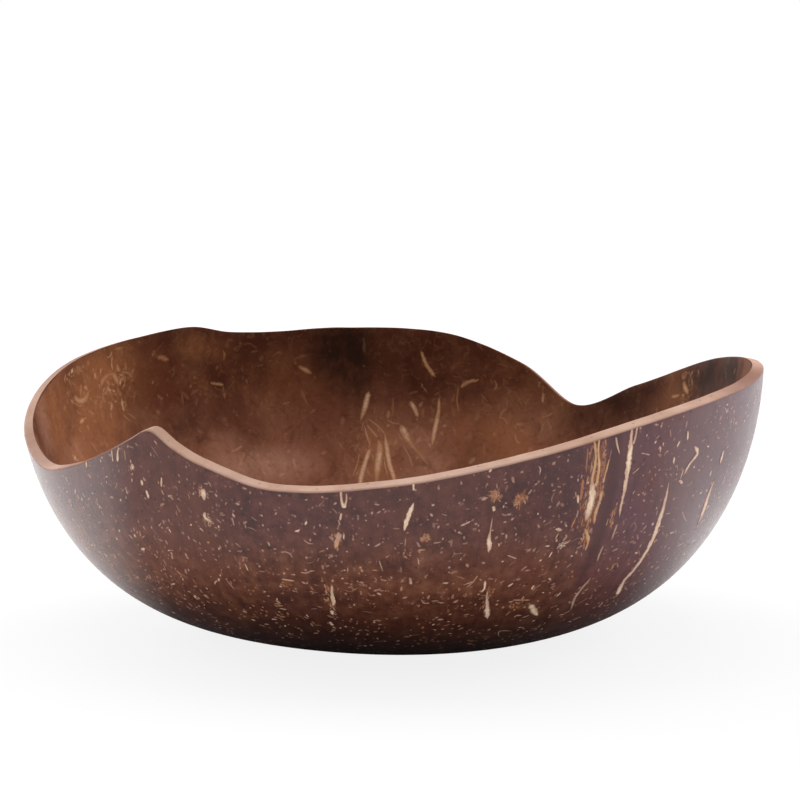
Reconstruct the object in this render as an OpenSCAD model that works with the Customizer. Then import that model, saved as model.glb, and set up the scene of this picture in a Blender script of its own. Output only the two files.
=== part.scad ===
// Coconut shell bowl: a sawn and sanded shell half with a wavy rim, a flat to
// stand on, and the pale fibre strands that lie in grooves of its wall.
// The origin is the centre of the flat, +Z is up and -Y is the front.

/* [Bowl] */
// Mean width of the shell at its widest girth
girth_w = 144; // [120:1:170]
// Height of the highest rim crest above the table
rim_h = 54.5; // [46:0.5:62]
// Height at which the whole nut was widest
girth_h = 55; // [50:0.5:64]
// Mean wall thickness at the rim, square to the wall
wall = 2.4; // [2:0.1:3.4]
// Wall thickness at the bottom pole before sanding
pole_wall = 4.5; // [3.8:0.1:6]
// Depth sanded off the rounded bottom to make the flat
sanded = 1.5; // [0.8:0.1:2.4]
// How far the middle of the girth sits to the right of the flat
lean_x = 1; // [-3:0.1:3]
// How far the middle of the girth sits behind the flat
lean_y = 1.9; // [-3:0.1:3]
// How much the slanting saw cut lifts the rim's inner edge at the highest crest
rim_slant = 0.4; // [0:0.1:0.8]

/* [Natural shape] */
// Exponent of the side profile: lower is fuller towards the base
profile_share = 0.3; // [0.26:0.01:0.4]
// How much longer than round the plan is, as a share of its radius
oval_share = 0.05; // [0:0.01:0.08]
// Direction of the long way of the plan, in degrees from +X
oval_turn = -16; // [-90:1:90]
// Height of the three soft seams of the nut, as a share of its radius
seam_share = 0.02; // [0:0.005:0.03]
// Direction of the first seam, in degrees from +X
seam_turn = 52; // [0:1:119]
// How much thicker than the mean the rim is on its thick side
uneven_share = 0.22; // [0:0.02:0.3]
// Direction of the thick side of the wall, in degrees from +X
thick_turn = -75; // [-180:5:180]

/* [Fibres] */
// Width of the thickest strand in the outer face
strand_w = 1.6; // [1.2:0.1:2.2]
// Width of the thickest vein in the inner face
vein_w = 1.6; // [1.2:0.1:2]
// Clearance between a strand and its groove
seat_gap = 0.05; // [0.03:0.01:0.1]

/* [Hidden] */

// Height of the uncut nut's bottom half, from its pole to its girth
nut_depth = girth_h + sanded;

// Corners round the bowl, and rings up its outer and down its inner skin
segs = 120;
outer_rings = 11;
inner_rings = 12;
// Powers that crowd the rings where the skins turn towards the base
outer_power = 2;
inner_power = 2.4;
// Longest straight step of a strand, and sides of a strand
straight_step = 5;
strand_sides = 6;
// How deep the middle of a strand lies, as a share of its width
sunk_share = 0.15;
// Power that keeps the slant of the saw cut to the crests
slant_power = 4;

// The rim line: azimuth in degrees and height as a share of the highest crest.
// Crests at 129, 228 and 345, hollows at 53, 195 and 250 with one long rise between.
RIM_SHARES = [
    [0, 0.96], [20, 0.905], [40, 0.76], [53, 0.66], [65, 0.815], [80, 0.935],
    [100, 0.965], [114, 0.96], [122, 0.97], [129, 1], [140, 0.98], [150, 0.95],
    [160, 0.9], [180, 0.755], [195, 0.67], [208, 0.71], [218, 0.785], [224, 0.845],
    [228, 0.88], [232, 0.83], [237, 0.78], [250, 0.705], [270, 0.73], [290, 0.81],
    [310, 0.9], [330, 0.945]
];

// Strands in the outer face. Each is a list of runs, and a run is a list of places:
// azimuth in degrees, share of the rim's height there, share of the full strand width.
THICK_SHARES = [
    [[299.7, 1, 0.25], [300.2, 0.92, 0.35], [300, 0.84, 0.5], [300.3, 0.8, 0.9],
     [300.5, 0.74, 1], [300.3, 0.69, 0.8], [300.2, 0.66, 0.4]],
    [[300.5, 1, 0.25], [300.5, 0.95, 0.3], [300.9, 0.89, 0.35], [300.9, 0.83, 0.45], [300.6, 0.8, 0.5]],
    [[302, 0.79, 0.25], [302, 0.75, 0.45], [301.7, 0.69, 0.4], [301.9, 0.64, 0.25]],
    [[302.5, 0.91, 0.2], [302.1, 0.84, 0.3], [302, 0.81, 0.25]],
    [[300.3, 0.64, 0.25], [301.3, 0.6, 0.5], [301.7, 0.57, 0.35], [301.7, 0.53, 0.25]]
];
LONG_SHARES = [
    [[306, 1, 0.3], [305.9, 0.95, 0.5], [306, 0.9, 0.8], [306, 0.84, 0.7],
     [306.1, 0.76, 0.55], [306.1, 0.69, 0.35], [306.4, 0.64, 0.2]],
    [[306.9, 1, 0.3], [306.7, 0.96, 0.35], [306.4, 0.93, 0.4]],
    [[303.3, 0.98, 0.25], [303.6, 0.95, 0.25], [304.2, 0.91, 0.2]]
];
TAIL_SHARES = [
    [[306.3, 0.62, 0.25], [306.2, 0.59, 0.35], [306.2, 0.55, 0.2]],
    [[304.9, 0.54, 0.2], [304.8, 0.5, 0.3], [304.9, 0.47, 0.2]],
    [[305.3, 0.4, 0.25], [304.6, 0.36, 0.35], [304.3, 0.31, 0.35], [305.5, 0.25, 0.35]]
];
CURVED_SHARES = [
    [[314.9, 0.74, 0.25], [315.2, 0.67, 0.55], [315.4, 0.59, 0.75], [315.6, 0.51, 0.75], [315.4, 0.44, 0.7],
     [314.8, 0.38, 0.65], [314.1, 0.34, 0.6], [315, 0.29, 0.8], [316, 0.27, 0.4]]
];
RIGHT_SHARES = [
    [[328.6, 0.79, 0.4], [328.5, 0.76, 0.7], [328.4, 0.73, 0.4]],
    [[328.2, 0.68, 0.35], [327.7, 0.65, 0.45], [327.8, 0.6, 0.9],
     [328.1, 0.56, 1], [328.3, 0.53, 0.7], [328.3, 0.5, 0.35]],
    [[317.3, 0.92, 0.3], [317.5, 0.88, 0.4]]
];
HOOK_SHARES = [
    [[319.2, 0.85, 0.3], [320.2, 0.83, 0.5], [320.5, 0.81, 0.5],
     [319.5, 0.79, 0.45], [318.7, 0.77, 0.5], [318.1, 0.74, 0.3]],
    [[317.2, 0.73, 0.3], [318.4, 0.71, 0.4]]
];
MID_SHARES = [
    [[284.3, 1, 0.4], [284, 0.98, 0.3]],
    [[285, 0.83, 0.35], [285.1, 0.8, 0.45]],
    [[285, 0.78, 0.2], [284.9, 0.71, 0.25], [284.9, 0.67, 0.6], [285.1, 0.64, 0.5], [285.1, 0.61, 0.2]],
    [[285.4, 0.48, 0.25], [285.6, 0.44, 0.35], [285.2, 0.42, 0.2]],
    [[286.2, 0.43, 0.25], [286.5, 0.39, 0.25], [287, 0.35, 0.5], [287.5, 0.31, 0.75], [288.2, 0.27, 0.25]]
];
LENS_SHARES = [
    [[272.8, 1, 0.4], [272.9, 0.96, 0.3]],
    [[273, 0.91, 0.2], [272.6, 0.88, 0.5], [272.2, 0.85, 0.6], [271.8, 0.81, 0.55], [271.5, 0.77, 0.2]]
];
FRONT_SHARES = [
    [[261.7, 1, 0.3], [261.7, 0.96, 0.3], [262, 0.92, 0.45], [262.5, 0.95, 0.25], [262.5, 0.99, 0.25]],
    [[261.6, 0.89, 0.25], [261.3, 0.85, 0.3]],
    [[260.9, 0.8, 0.45], [260.9, 0.77, 0.85], [260.5, 0.74, 0.6], [260.1, 0.7, 0.3]],
    [[258.8, 0.52, 0.35], [258.5, 0.47, 0.45], [258.5, 0.42, 0.5], [258.1, 0.39, 0.3]],
    [[257.8, 0.37, 0.5], [257.7, 0.34, 0.5]],
    [[256.5, 0.3, 0.4], [257, 0.27, 0.5]]
];
LEFT_SHARES = [
    [[219.4, 0.99, 0.3], [219.3, 0.94, 0.3]],
    [[220.9, 0.98, 0.4], [220.4, 0.93, 0.5]],
    [[212.4, 1, 0.4], [212.2, 0.96, 0.3]],
    [[223.5, 0.9, 0.4], [223.8, 0.87, 0.5]],
    [[225, 0.82, 0.45], [225.2, 0.79, 0.5]],
    [[225.7, 0.77, 0.4], [225.9, 0.73, 0.45]],
    [[229.6, 0.83, 0.35], [229.1, 0.78, 0.25]],
    [[237.2, 0.89, 0.45], [237.6, 0.87, 0.8], [237.3, 0.83, 0.45]],
    [[237.2, 0.78, 0.3], [237, 0.75, 0.6], [238.4, 0.74, 0.3]]
];

// Strands of the far side, spaced and sized as those of the near side
BACK_LEFT_SHARES = [
    [[182, 1, 0.4], [182.5, 0.85, 0.75], [182, 0.68, 0.5], [183, 0.5, 0.25]],
    [[166, 0.72, 0.3], [166.5, 0.58, 0.6], [167, 0.4, 0.3]]
];
BACK_MID_SHARES = [
    [[121, 1, 0.4], [121.5, 0.86, 0.8], [121, 0.7, 0.6], [121.5, 0.52, 0.25]],
    [[104, 0.66, 0.3], [104.5, 0.5, 0.6], [105, 0.33, 0.3]]
];
BACK_RIGHT_SHARES = [
    [[61, 1, 0.4], [60.5, 0.8, 0.75], [61, 0.62, 0.5], [61.5, 0.45, 0.25]],
    [[12, 0.8, 0.3], [12.5, 0.6, 0.6], [12, 0.42, 0.3]]
];

// Veins in the inner face: azimuth in degrees, share of the way from the bottom pole
// to the rim, share of the full vein width
ROOT_SHARES = [
    [[95, 0.88, 0.55], [95.5, 0.86, 0.65], [96, 0.84, 0.6], [97, 0.81, 0.35]],
    [[95, 0.75, 0.45], [96, 0.72, 0.55], [97.5, 0.665, 0.55], [98.5, 0.6, 0.3]],
    [[93.5, 0.775, 0.4], [93, 0.745, 0.7], [93.5, 0.705, 0.8], [94, 0.66, 0.5], [94.5, 0.6, 0.3]],
    [[92, 0.79, 0.35], [91.5, 0.745, 0.55], [91, 0.705, 0.55], [90, 0.665, 0.5], [89, 0.6, 0.3]]
];
BRANCH_SHARES = [
    [[89, 0.81, 0.4], [88, 0.79, 0.85], [86.5, 0.76, 0.6], [84.5, 0.735, 0.5], [82, 0.7, 0.4]],
    [[87, 0.86, 0.35], [86, 0.845, 0.55], [85, 0.82, 0.4]],
    [[81, 0.875, 0.4], [81, 0.84, 0.45], [81.5, 0.8, 0.55], [82, 0.755, 0.4]]
];
VEIN_LEFT_SHARES = [
    [[109, 0.935, 0.4], [107.5, 0.925, 0.55], [106, 0.915, 0.45]],
    [[126.5, 0.9, 0.4], [123.5, 0.9, 0.45]],
    [[150, 0.93, 0.5], [149, 0.945, 0.65], [147, 0.95, 0.5], [146, 0.94, 0.7], [145.5, 0.92, 0.5]],
    [[157.5, 0.945, 0.6], [156.5, 0.93, 0.7], [154.5, 0.925, 0.7], [152.5, 0.94, 0.5]]
];
VEIN_RIGHT_SHARES = [
    [[27.5, 0.97, 0.55], [26.5, 0.955, 0.7], [25, 0.94, 0.5]],
    [[60, 0.975, 0.45], [60, 0.95, 0.5]]
];

// Rim height by azimuth: a smooth closed curve through the places of RIM_SHARES
rim_count = len(RIM_SHARES);
function rim_place(i) = let (turns = floor(i / rim_count), place = RIM_SHARES[i - turns * rim_count])
    [place[0] + 360 * turns, place[1]];
function rim_span(a, i = 0) = a < rim_place(i + 1)[0] ? i : rim_span(a, i + 1);
function rim_rise(i) = let (before = rim_place(i - 1), after = rim_place(i + 1))
    (after[1] - before[1]) / (after[0] - before[0]);
function rim_z(azimuth) = let (
        a = azimuth - 360 * floor(azimuth / 360),
        i = rim_span(a),
        from = rim_place(i),
        to = rim_place(i + 1),
        width = to[0] - from[0],
        t = (a - from[0]) / width
    ) rim_h * (
        from[1] * (1 + 2 * t) * pow(1 - t, 2) + to[1] * t * t * (3 - 2 * t)
        + width * (rim_rise(i) * t * pow(1 - t, 2) - rim_rise(i + 1) * t * t * (1 - t))
    );

// The nut's outer skin: plan radius by azimuth, drawn in towards the pole by height
function plan_r(a) = girth_w / 2
    * (1 + oval_share * cos(2 * (a - oval_turn)) + seam_share * cos(3 * (a - seam_turn)));
function below_girth(z) = (girth_h - z) / nut_depth;
function roundness(z) = 1 - pow(below_girth(z), 2);
function skin_r(a, z) = plan_r(a) * pow(roundness(z), profile_share);
function skin_slope(a, z) = skin_r(a, z) * 2 * profile_share * below_girth(z)
    / (roundness(z) * nut_depth);

// A point at some depth under the outer skin, measured square to the wall
function under_skin(a, z, depth) = let (
        slope = skin_slope(a, z),
        length = sqrt(1 + slope * slope),
        r = skin_r(a, z) - depth / length
    ) [
        r * cos(a) + lean_x * z / girth_h,
        r * sin(a) + lean_y * z / girth_h,
        z + depth * slope / length
    ];
// The wall is uneven round the rim, and the cut lifts its inner edge most at the crests
function wall_at(a) = wall * (1 + uneven_share * cos(a - thick_turn));
function inner_rim_z(a) = rim_z(a) + rim_slant * pow(rim_z(a) / rim_h, slant_power);
// Points on the outer skin and on the inner one, by share of the way up to the rim
function outer_point(a, share, depth = 0) = under_skin(a, rim_z(a) * share, depth);
function inner_point(a, share, raised = 0) = under_skin(a,
    (inner_rim_z(a) + sanded) * pow(share, inner_power) - sanded,
    pole_wall + (wall_at(a) - pole_wall) * share - raised);
// The middle of a bead, sunk a little into the face that it lies in
function bead_middle(place, full_w, inside) = let (sunk = full_w * place[2] * sunk_share)
    inside ? inner_point(place[0], place[1], sunk) : outer_point(place[0], place[1], sunk);

// The whole wall, closed by its sawn rim face, its floor and the sanded flat
module shell_body() {
    skins = concat(
        [for (j = [0:outer_rings], i = [0:segs - 1])
            outer_point(360 * i / segs, pow(j / outer_rings, outer_power))],
        [for (j = [inner_rings:-1:1], i = [0:segs - 1]) inner_point(360 * i / segs, j / inner_rings)]
    );
    last = outer_rings + inner_rings;
    floor_middle = len(skins);
    flat_middle = floor_middle + 1;
    sides = [for (j = [0:last - 1], i = [0:segs - 1]) let (
            near = j * segs + i,
            next = j * segs + (i + 1) % segs
        ) each [[near, near + segs, next + segs], [near, next + segs, next]]];
    floors = [for (i = [0:segs - 1]) [floor_middle, last * segs + (i + 1) % segs, last * segs + i]];
    flats = [for (i = [0:segs - 1]) [flat_middle, i, (i + 1) % segs]];
    polyhedron(
        concat(skins, [[0, 0, pole_wall - sanded], [0, 0, 0]]),
        concat(sides, floors, flats),
        convexity = 6
    );
}

// One bead of a strand or vein
module bead(place, full_w, inside, grow) {
    translate(bead_middle(place, full_w, inside))
        sphere(r = full_w * place[2] / 2 + grow, $fn = strand_sides);
}

// A run of beads joined into one tapering strand that follows the wall
module run(places, full_w, inside, grow) {
    for (i = [0:len(places) - 2]) {
        leg = places[i + 1] - places[i];
        ends = [for (place = [places[i], places[i + 1]]) bead_middle(place, full_w, inside)];
        steps = max(1, ceil(norm(ends[1] - ends[0]) / straight_step));
        for (k = [0:steps - 1]) hull() {
            bead(places[i] + leg * k / steps, full_w, inside, grow);
            bead(places[i] + leg * (k + 1) / steps, full_w, inside, grow);
        }
    }
}

// Every run of one strand, full size or grown by the seat clearance
module runs(all_places, full_w, inside, grow = 0) {
    for (places = all_places) run(places, full_w, inside, grow);
}

// A strand fills its groove and is sanded flush with the wall around it
module strand(all_places) {
    color("burlywood") intersection() {
        shell_body();
        runs(all_places, strand_w, false);
    }
}

module vein(all_places) {
    color("peru") intersection() {
        shell_body();
        runs(all_places, vein_w, true);
    }
}

module shell() {
    color("saddlebrown") difference() {
        shell_body();
        for (all_places = [THICK_SHARES, LONG_SHARES, TAIL_SHARES, CURVED_SHARES, RIGHT_SHARES,
                HOOK_SHARES, MID_SHARES, LENS_SHARES, FRONT_SHARES, LEFT_SHARES,
                BACK_LEFT_SHARES, BACK_MID_SHARES, BACK_RIGHT_SHARES])
            runs(all_places, strand_w, false, seat_gap);
        for (all_places = [ROOT_SHARES, BRANCH_SHARES, VEIN_LEFT_SHARES, VEIN_RIGHT_SHARES])
            runs(all_places, vein_w, true, seat_gap);
    }
}

module strand_thick() strand(THICK_SHARES);
module strand_long() strand(LONG_SHARES);
module strand_tail() strand(TAIL_SHARES);
module strand_curved() strand(CURVED_SHARES);
module strand_right() strand(RIGHT_SHARES);
module strand_hook() strand(HOOK_SHARES);
module strand_mid() strand(MID_SHARES);
module strand_lens() strand(LENS_SHARES);
module strand_front() strand(FRONT_SHARES);
module strand_left() strand(LEFT_SHARES);
module strand_back_left() strand(BACK_LEFT_SHARES);
module strand_back_mid() strand(BACK_MID_SHARES);
module strand_back_right() strand(BACK_RIGHT_SHARES);
module vein_root() vein(ROOT_SHARES);
module vein_branch() vein(BRANCH_SHARES);
module vein_left() vein(VEIN_LEFT_SHARES);
module vein_right() vein(VEIN_RIGHT_SHARES);

shell();
strand_thick();
strand_long();
strand_tail();
strand_curved();
strand_right();
strand_hook();
strand_mid();
strand_lens();
strand_front();
strand_left();
strand_back_left();
strand_back_mid();
strand_back_right();
vein_root();
vein_branch();
vein_left();
vein_right();
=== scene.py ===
"""Coconut shell bowl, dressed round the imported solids.

The wall, its fibre strands and its veins are made again from the same named values as
the solids, with eased edges, flecks and procedural finishes. Lengths are in millimetres
until a mesh is made, azimuths in degrees from +X, and -Y is the front.
"""
import math
import random
from functools import cached_property, reduce

import bpy
import numpy as np
from mathutils import Matrix, Vector


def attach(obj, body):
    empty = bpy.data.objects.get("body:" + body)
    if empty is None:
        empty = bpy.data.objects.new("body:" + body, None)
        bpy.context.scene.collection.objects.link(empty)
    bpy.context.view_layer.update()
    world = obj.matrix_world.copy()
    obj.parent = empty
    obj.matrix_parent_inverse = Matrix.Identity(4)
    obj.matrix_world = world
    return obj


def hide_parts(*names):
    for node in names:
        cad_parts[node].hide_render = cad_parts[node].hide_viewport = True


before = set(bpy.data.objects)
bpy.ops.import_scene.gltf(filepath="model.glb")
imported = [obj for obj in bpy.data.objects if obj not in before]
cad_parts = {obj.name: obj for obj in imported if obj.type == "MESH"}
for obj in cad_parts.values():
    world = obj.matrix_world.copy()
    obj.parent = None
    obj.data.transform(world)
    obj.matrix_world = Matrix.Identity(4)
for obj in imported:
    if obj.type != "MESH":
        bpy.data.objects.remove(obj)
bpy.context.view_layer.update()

MM = 0.001

# The bowl, as in the solids
GIRTH_W = 144.0
RIM_H = 54.5
GIRTH_H = 55.0
WALL = 2.4
UNEVEN, THICK_TURN = 0.22, -75.0
SLANT, SLANT_POWER = 0.4, 4
POLE_WALL = 4.5
SANDED = 1.5
LEAN = (1.0, 1.9)
PROFILE = 0.3
OVAL, OVAL_TURN = 0.05, -16.0
SEAM, SEAM_TURN = 0.02, 52.0
INNER_POWER = 2.4
NUT_DEPTH = GIRTH_H + SANDED
STRAND_W = 1.6
VEIN_W = 1.6

# Azimuth and share of the highest crest, round the sawn rim
RIM = [
    (0, 0.96), (20, 0.905), (40, 0.76), (53, 0.66), (65, 0.815), (80, 0.935),
    (100, 0.965), (114, 0.96), (122, 0.97), (129, 1), (140, 0.98), (150, 0.95),
    (160, 0.9), (180, 0.755), (195, 0.67), (208, 0.71), (218, 0.785), (224, 0.845),
    (228, 0.88), (232, 0.83), (237, 0.78), (250, 0.705), (270, 0.73), (290, 0.81),
    (310, 0.9), (330, 0.945),
]

# Strands in the outer face: runs of azimuth, share of the rim's height, share of the width
STRANDS = {
    "thick": [
        [(299.7, 1, 0.25), (300.2, 0.92, 0.35), (300, 0.84, 0.5), (300.3, 0.8, 0.9),
         (300.5, 0.74, 1), (300.3, 0.69, 0.8), (300.2, 0.66, 0.4)],
        [(300.5, 1, 0.25), (300.5, 0.95, 0.3), (300.9, 0.89, 0.35), (300.9, 0.83, 0.45),
         (300.6, 0.8, 0.5)],
        [(302, 0.79, 0.25), (302, 0.75, 0.45), (301.7, 0.69, 0.4), (301.9, 0.64, 0.25)],
        [(302.5, 0.91, 0.2), (302.1, 0.84, 0.3), (302, 0.81, 0.25)],
        [(300.3, 0.64, 0.25), (301.3, 0.6, 0.5), (301.7, 0.57, 0.35), (301.7, 0.53, 0.25)],
    ],
    "long": [
        [(306, 1, 0.3), (305.9, 0.95, 0.5), (306, 0.9, 0.8), (306, 0.84, 0.7), (306.1, 0.76, 0.55),
         (306.1, 0.69, 0.35), (306.4, 0.64, 0.2)],
        [(306.9, 1, 0.3), (306.7, 0.96, 0.35), (306.4, 0.93, 0.4)],
        [(303.3, 0.98, 0.25), (303.6, 0.95, 0.25), (304.2, 0.91, 0.2)],
    ],
    "tail": [
        [(306.3, 0.62, 0.25), (306.2, 0.59, 0.35), (306.2, 0.55, 0.2)],
        [(304.9, 0.54, 0.2), (304.8, 0.5, 0.3), (304.9, 0.47, 0.2)],
        [(305.3, 0.4, 0.25), (304.6, 0.36, 0.35), (304.3, 0.31, 0.35), (305.5, 0.25, 0.35)],
    ],
    "curved": [
        [(314.9, 0.74, 0.25), (315.2, 0.67, 0.55), (315.4, 0.59, 0.75), (315.6, 0.51, 0.75),
         (315.4, 0.44, 0.7), (314.8, 0.38, 0.65), (314.1, 0.34, 0.6), (315, 0.29, 0.8),
         (316, 0.27, 0.4)],
    ],
    "right": [
        [(328.6, 0.79, 0.4), (328.5, 0.76, 0.7), (328.4, 0.73, 0.4)],
        [(328.2, 0.68, 0.35), (327.7, 0.65, 0.45), (327.8, 0.6, 0.9), (328.1, 0.56, 1),
         (328.3, 0.53, 0.7), (328.3, 0.5, 0.35)],
        [(317.3, 0.92, 0.3), (317.5, 0.88, 0.4)],
    ],
    "hook": [
        [(319.2, 0.85, 0.3), (320.2, 0.83, 0.5), (320.5, 0.81, 0.5), (319.5, 0.79, 0.45),
         (318.7, 0.77, 0.5), (318.1, 0.74, 0.3)],
        [(317.2, 0.73, 0.3), (318.4, 0.71, 0.4)],
    ],
    "mid": [
        [(284.3, 1, 0.4), (284, 0.98, 0.3)],
        [(285, 0.83, 0.35), (285.1, 0.8, 0.45)],
        [(285, 0.78, 0.2), (284.9, 0.71, 0.25), (284.9, 0.67, 0.6), (285.1, 0.64, 0.5),
         (285.1, 0.61, 0.2)],
        [(285.4, 0.48, 0.25), (285.6, 0.44, 0.35), (285.2, 0.42, 0.2)],
        [(286.2, 0.43, 0.25), (286.5, 0.39, 0.25), (287, 0.35, 0.5), (287.5, 0.31, 0.75),
         (288.2, 0.27, 0.25)],
    ],
    "lens": [
        [(272.8, 1, 0.4), (272.9, 0.96, 0.3)],
        [(273, 0.91, 0.2), (272.6, 0.88, 0.5), (272.2, 0.85, 0.6), (271.8, 0.81, 0.55),
         (271.5, 0.77, 0.2)],
    ],
    "front": [
        [(261.7, 1, 0.3), (261.7, 0.96, 0.3), (262, 0.92, 0.45), (262.5, 0.95, 0.25),
         (262.5, 0.99, 0.25)],
        [(261.6, 0.89, 0.25), (261.3, 0.85, 0.3)],
        [(260.9, 0.8, 0.45), (260.9, 0.77, 0.85), (260.5, 0.74, 0.6), (260.1, 0.7, 0.3)],
        [(258.8, 0.52, 0.35), (258.5, 0.47, 0.45), (258.5, 0.42, 0.5), (258.1, 0.39, 0.3)],
        [(257.8, 0.37, 0.5), (257.7, 0.34, 0.5)],
        [(256.5, 0.3, 0.4), (257, 0.27, 0.5)],
    ],
    "left": [
        [(219.4, 0.99, 0.3), (219.3, 0.94, 0.3)],
        [(220.9, 0.98, 0.4), (220.4, 0.93, 0.5)],
        [(212.4, 1, 0.4), (212.2, 0.96, 0.3)],
        [(223.5, 0.9, 0.4), (223.8, 0.87, 0.5)],
        [(225, 0.82, 0.45), (225.2, 0.79, 0.5)],
        [(225.7, 0.77, 0.4), (225.9, 0.73, 0.45)],
        [(229.6, 0.83, 0.35), (229.1, 0.78, 0.25)],
        [(237.2, 0.89, 0.45), (237.6, 0.87, 0.8), (237.3, 0.83, 0.45)],
        [(237.2, 0.78, 0.3), (237, 0.75, 0.6), (238.4, 0.74, 0.3)],
    ],
    "back_left": [
        [(182, 1, 0.4), (182.5, 0.85, 0.75), (182, 0.68, 0.5), (183, 0.5, 0.25)],
        [(166, 0.72, 0.3), (166.5, 0.58, 0.6), (167, 0.4, 0.3)],
    ],
    "back_mid": [
        [(121, 1, 0.4), (121.5, 0.86, 0.8), (121, 0.7, 0.6), (121.5, 0.52, 0.25)],
        [(104, 0.66, 0.3), (104.5, 0.5, 0.6), (105, 0.33, 0.3)],
    ],
    "back_right": [
        [(61, 1, 0.4), (60.5, 0.8, 0.75), (61, 0.62, 0.5), (61.5, 0.45, 0.25)],
        [(12, 0.8, 0.3), (12.5, 0.6, 0.6), (12, 0.42, 0.3)],
    ],
}

# Veins in the inner face: azimuth, share of the way from pole to rim, share of the width
VEINS = {
    "root": [
        [(95, 0.88, 0.55), (95.5, 0.86, 0.65), (96, 0.84, 0.6), (97, 0.81, 0.35)],
        [(95, 0.75, 0.45), (96, 0.72, 0.55), (97.5, 0.665, 0.55), (98.5, 0.6, 0.3)],
        [(93.5, 0.775, 0.4), (93, 0.745, 0.7), (93.5, 0.705, 0.8), (94, 0.66, 0.5),
         (94.5, 0.6, 0.3)],
        [(92, 0.79, 0.35), (91.5, 0.745, 0.55), (91, 0.705, 0.55), (90, 0.665, 0.5),
         (89, 0.6, 0.3)],
    ],
    "branch": [
        [(89, 0.81, 0.4), (88, 0.79, 0.85), (86.5, 0.76, 0.6), (84.5, 0.735, 0.5), (82, 0.7, 0.4)],
        [(87, 0.86, 0.35), (86, 0.845, 0.55), (85, 0.82, 0.4)],
        [(81, 0.875, 0.4), (81, 0.84, 0.45), (81.5, 0.8, 0.55), (82, 0.755, 0.4)],
    ],
    "left": [
        [(109, 0.935, 0.4), (107.5, 0.925, 0.55), (106, 0.915, 0.45)],
        [(126.5, 0.9, 0.4), (123.5, 0.9, 0.45)],
        [(150, 0.93, 0.5), (149, 0.945, 0.65), (147, 0.95, 0.5), (146, 0.94, 0.7),
         (145.5, 0.92, 0.5)],
        [(157.5, 0.945, 0.6), (156.5, 0.93, 0.7), (154.5, 0.925, 0.7), (152.5, 0.94, 0.5)],
    ],
    "right": [
        [(27.5, 0.97, 0.55), (26.5, 0.955, 0.7), (25, 0.94, 0.5)],
        [(60, 0.975, 0.45), (60, 0.95, 0.5)],
    ],
}

# Rust-brown stains round fibres: azimuth, share, half width, half height in mm, strength
STAINS = [
    (300.6, 0.86, 2.6, 6.5, 1.0), (300.4, 0.72, 2.3, 6.0, 1.0), (301, 0.6, 1.4, 3.0, 0.7),
    (285, 0.87, 1.3, 1.8, 0.9), (289.2, 0.83, 1.7, 1.9, 0.9), (305, 0.66, 0.9, 3.5, 0.6),
    (260.5, 0.77, 1.2, 2.2, 0.6), (257.7, 0.42, 1.0, 4.0, 0.4), (286.6, 0.4, 1.3, 3.5, 0.4),
    (237.2, 0.88, 1.1, 1.6, 0.7), (237, 0.74, 1.1, 1.4, 0.5), (250, 0.5, 1.6, 1.0, 0.8),
    (315.4, 0.28, 0.9, 1.3, 0.9), (292.5, 0.33, 1.6, 1.5, 0.7), (182.3, 0.83, 1.8, 6.0, 0.8),
    (121.2, 0.84, 2.0, 7.0, 0.9), (60.8, 0.78, 1.9, 6.5, 0.9), (12.4, 0.6, 1.3, 4.0, 0.6),
    (104.5, 0.5, 1.4, 4.5, 0.6), (166.5, 0.56, 1.3, 3.5, 0.6), (272, 0.66, 1.2, 0.8, 0.5),
]

# A smooth dark band along one seam, free of flecks: azimuth and share along its middle
BAND = [(303.2, 1.0), (303.6, 0.85), (303.8, 0.7), (303.2, 0.5), (302.0, 0.3), (301.0, 0.15)]
# Its half width in mm, how far it fades past that, and the shares over which it starts
BAND_HALF, BAND_REACH = 1.9, 1.3
BAND_FOOT, BAND_FADE = 0.2, 0.35

# Painted shade on stretches of the sawn rim: azimuth, half length in degrees, strength
RIM_PAINTED_SHADES = [(214, 16, 1.0), (188, 24, 0.4), (340, 16, 0.75), (58, 24, 0.85), (155, 16, 0.6)]

# Tones of a mark, from rust through pinkish tan to cream
RUST, AMBER, PINK, TAN, CREAM = 0.05, 0.3, 0.5, 0.75, 1.0
OUTER_TONES = [
    (0.0, (0.20, 0.060, 0.022)), (0.3, (0.60, 0.225, 0.090)), (0.4, (0.66, 0.36, 0.165)),
    (0.5, (0.52, 0.275, 0.200)), (0.75, (0.74, 0.48, 0.345)), (1.0, (0.96, 0.72, 0.51))]
INNER_TONES = [
    (0.0, (0.16, 0.050, 0.020)), (0.3, (0.34, 0.135, 0.055)), (0.5, (0.43, 0.200, 0.095)),
    (0.75, (0.75, 0.415, 0.205)), (1.0, (0.98, 0.62, 0.38))]

# Each strand's tone where it is thinnest and where it is full, and its cover; a strand
# whose runs differ has one such row for each run
AMBER_FIBRE = (0.3, 0.45, 1.0)
STRAND_LOOKS = {
    "thick": [(0.4, 1.1, 1.0), (0.4, 0.4, 1.0), AMBER_FIBRE, AMBER_FIBRE, AMBER_FIBRE],
    "long": [(0.65, 1.1, 1.0), (0.6, 0.8, 0.9), (0.6, 0.75, 0.8)],
    "tail": (0.5, 0.7, 0.55), "curved": (0.62, 0.95, 0.95), "right": (0.6, 0.95, 0.95),
    "hook": (0.6, 0.9, 0.85), "mid": (0.65, 1.05, 0.95), "lens": (0.85, 1.2, 1.0),
    "front": [(0.75, 1.0, 0.95), (0.7, 0.9, 0.9), (0.36, 0.55, 1.0), (0.6, 0.95, 0.9),
              (0.7, 0.95, 0.9), (0.7, 1.0, 0.9)],
    "left": (0.6, 0.95, 0.9),
}
PLAIN_LOOK = (0.55, 1.0, 0.9)
VEIN_LOOKS = {
    "root": (0.5, 1.1, 0.8), "branch": (0.5, 1.1, 0.75), "left": (0.45, 0.85, 0.5),
    "right": (0.4, 0.8, 0.6),
}
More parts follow.
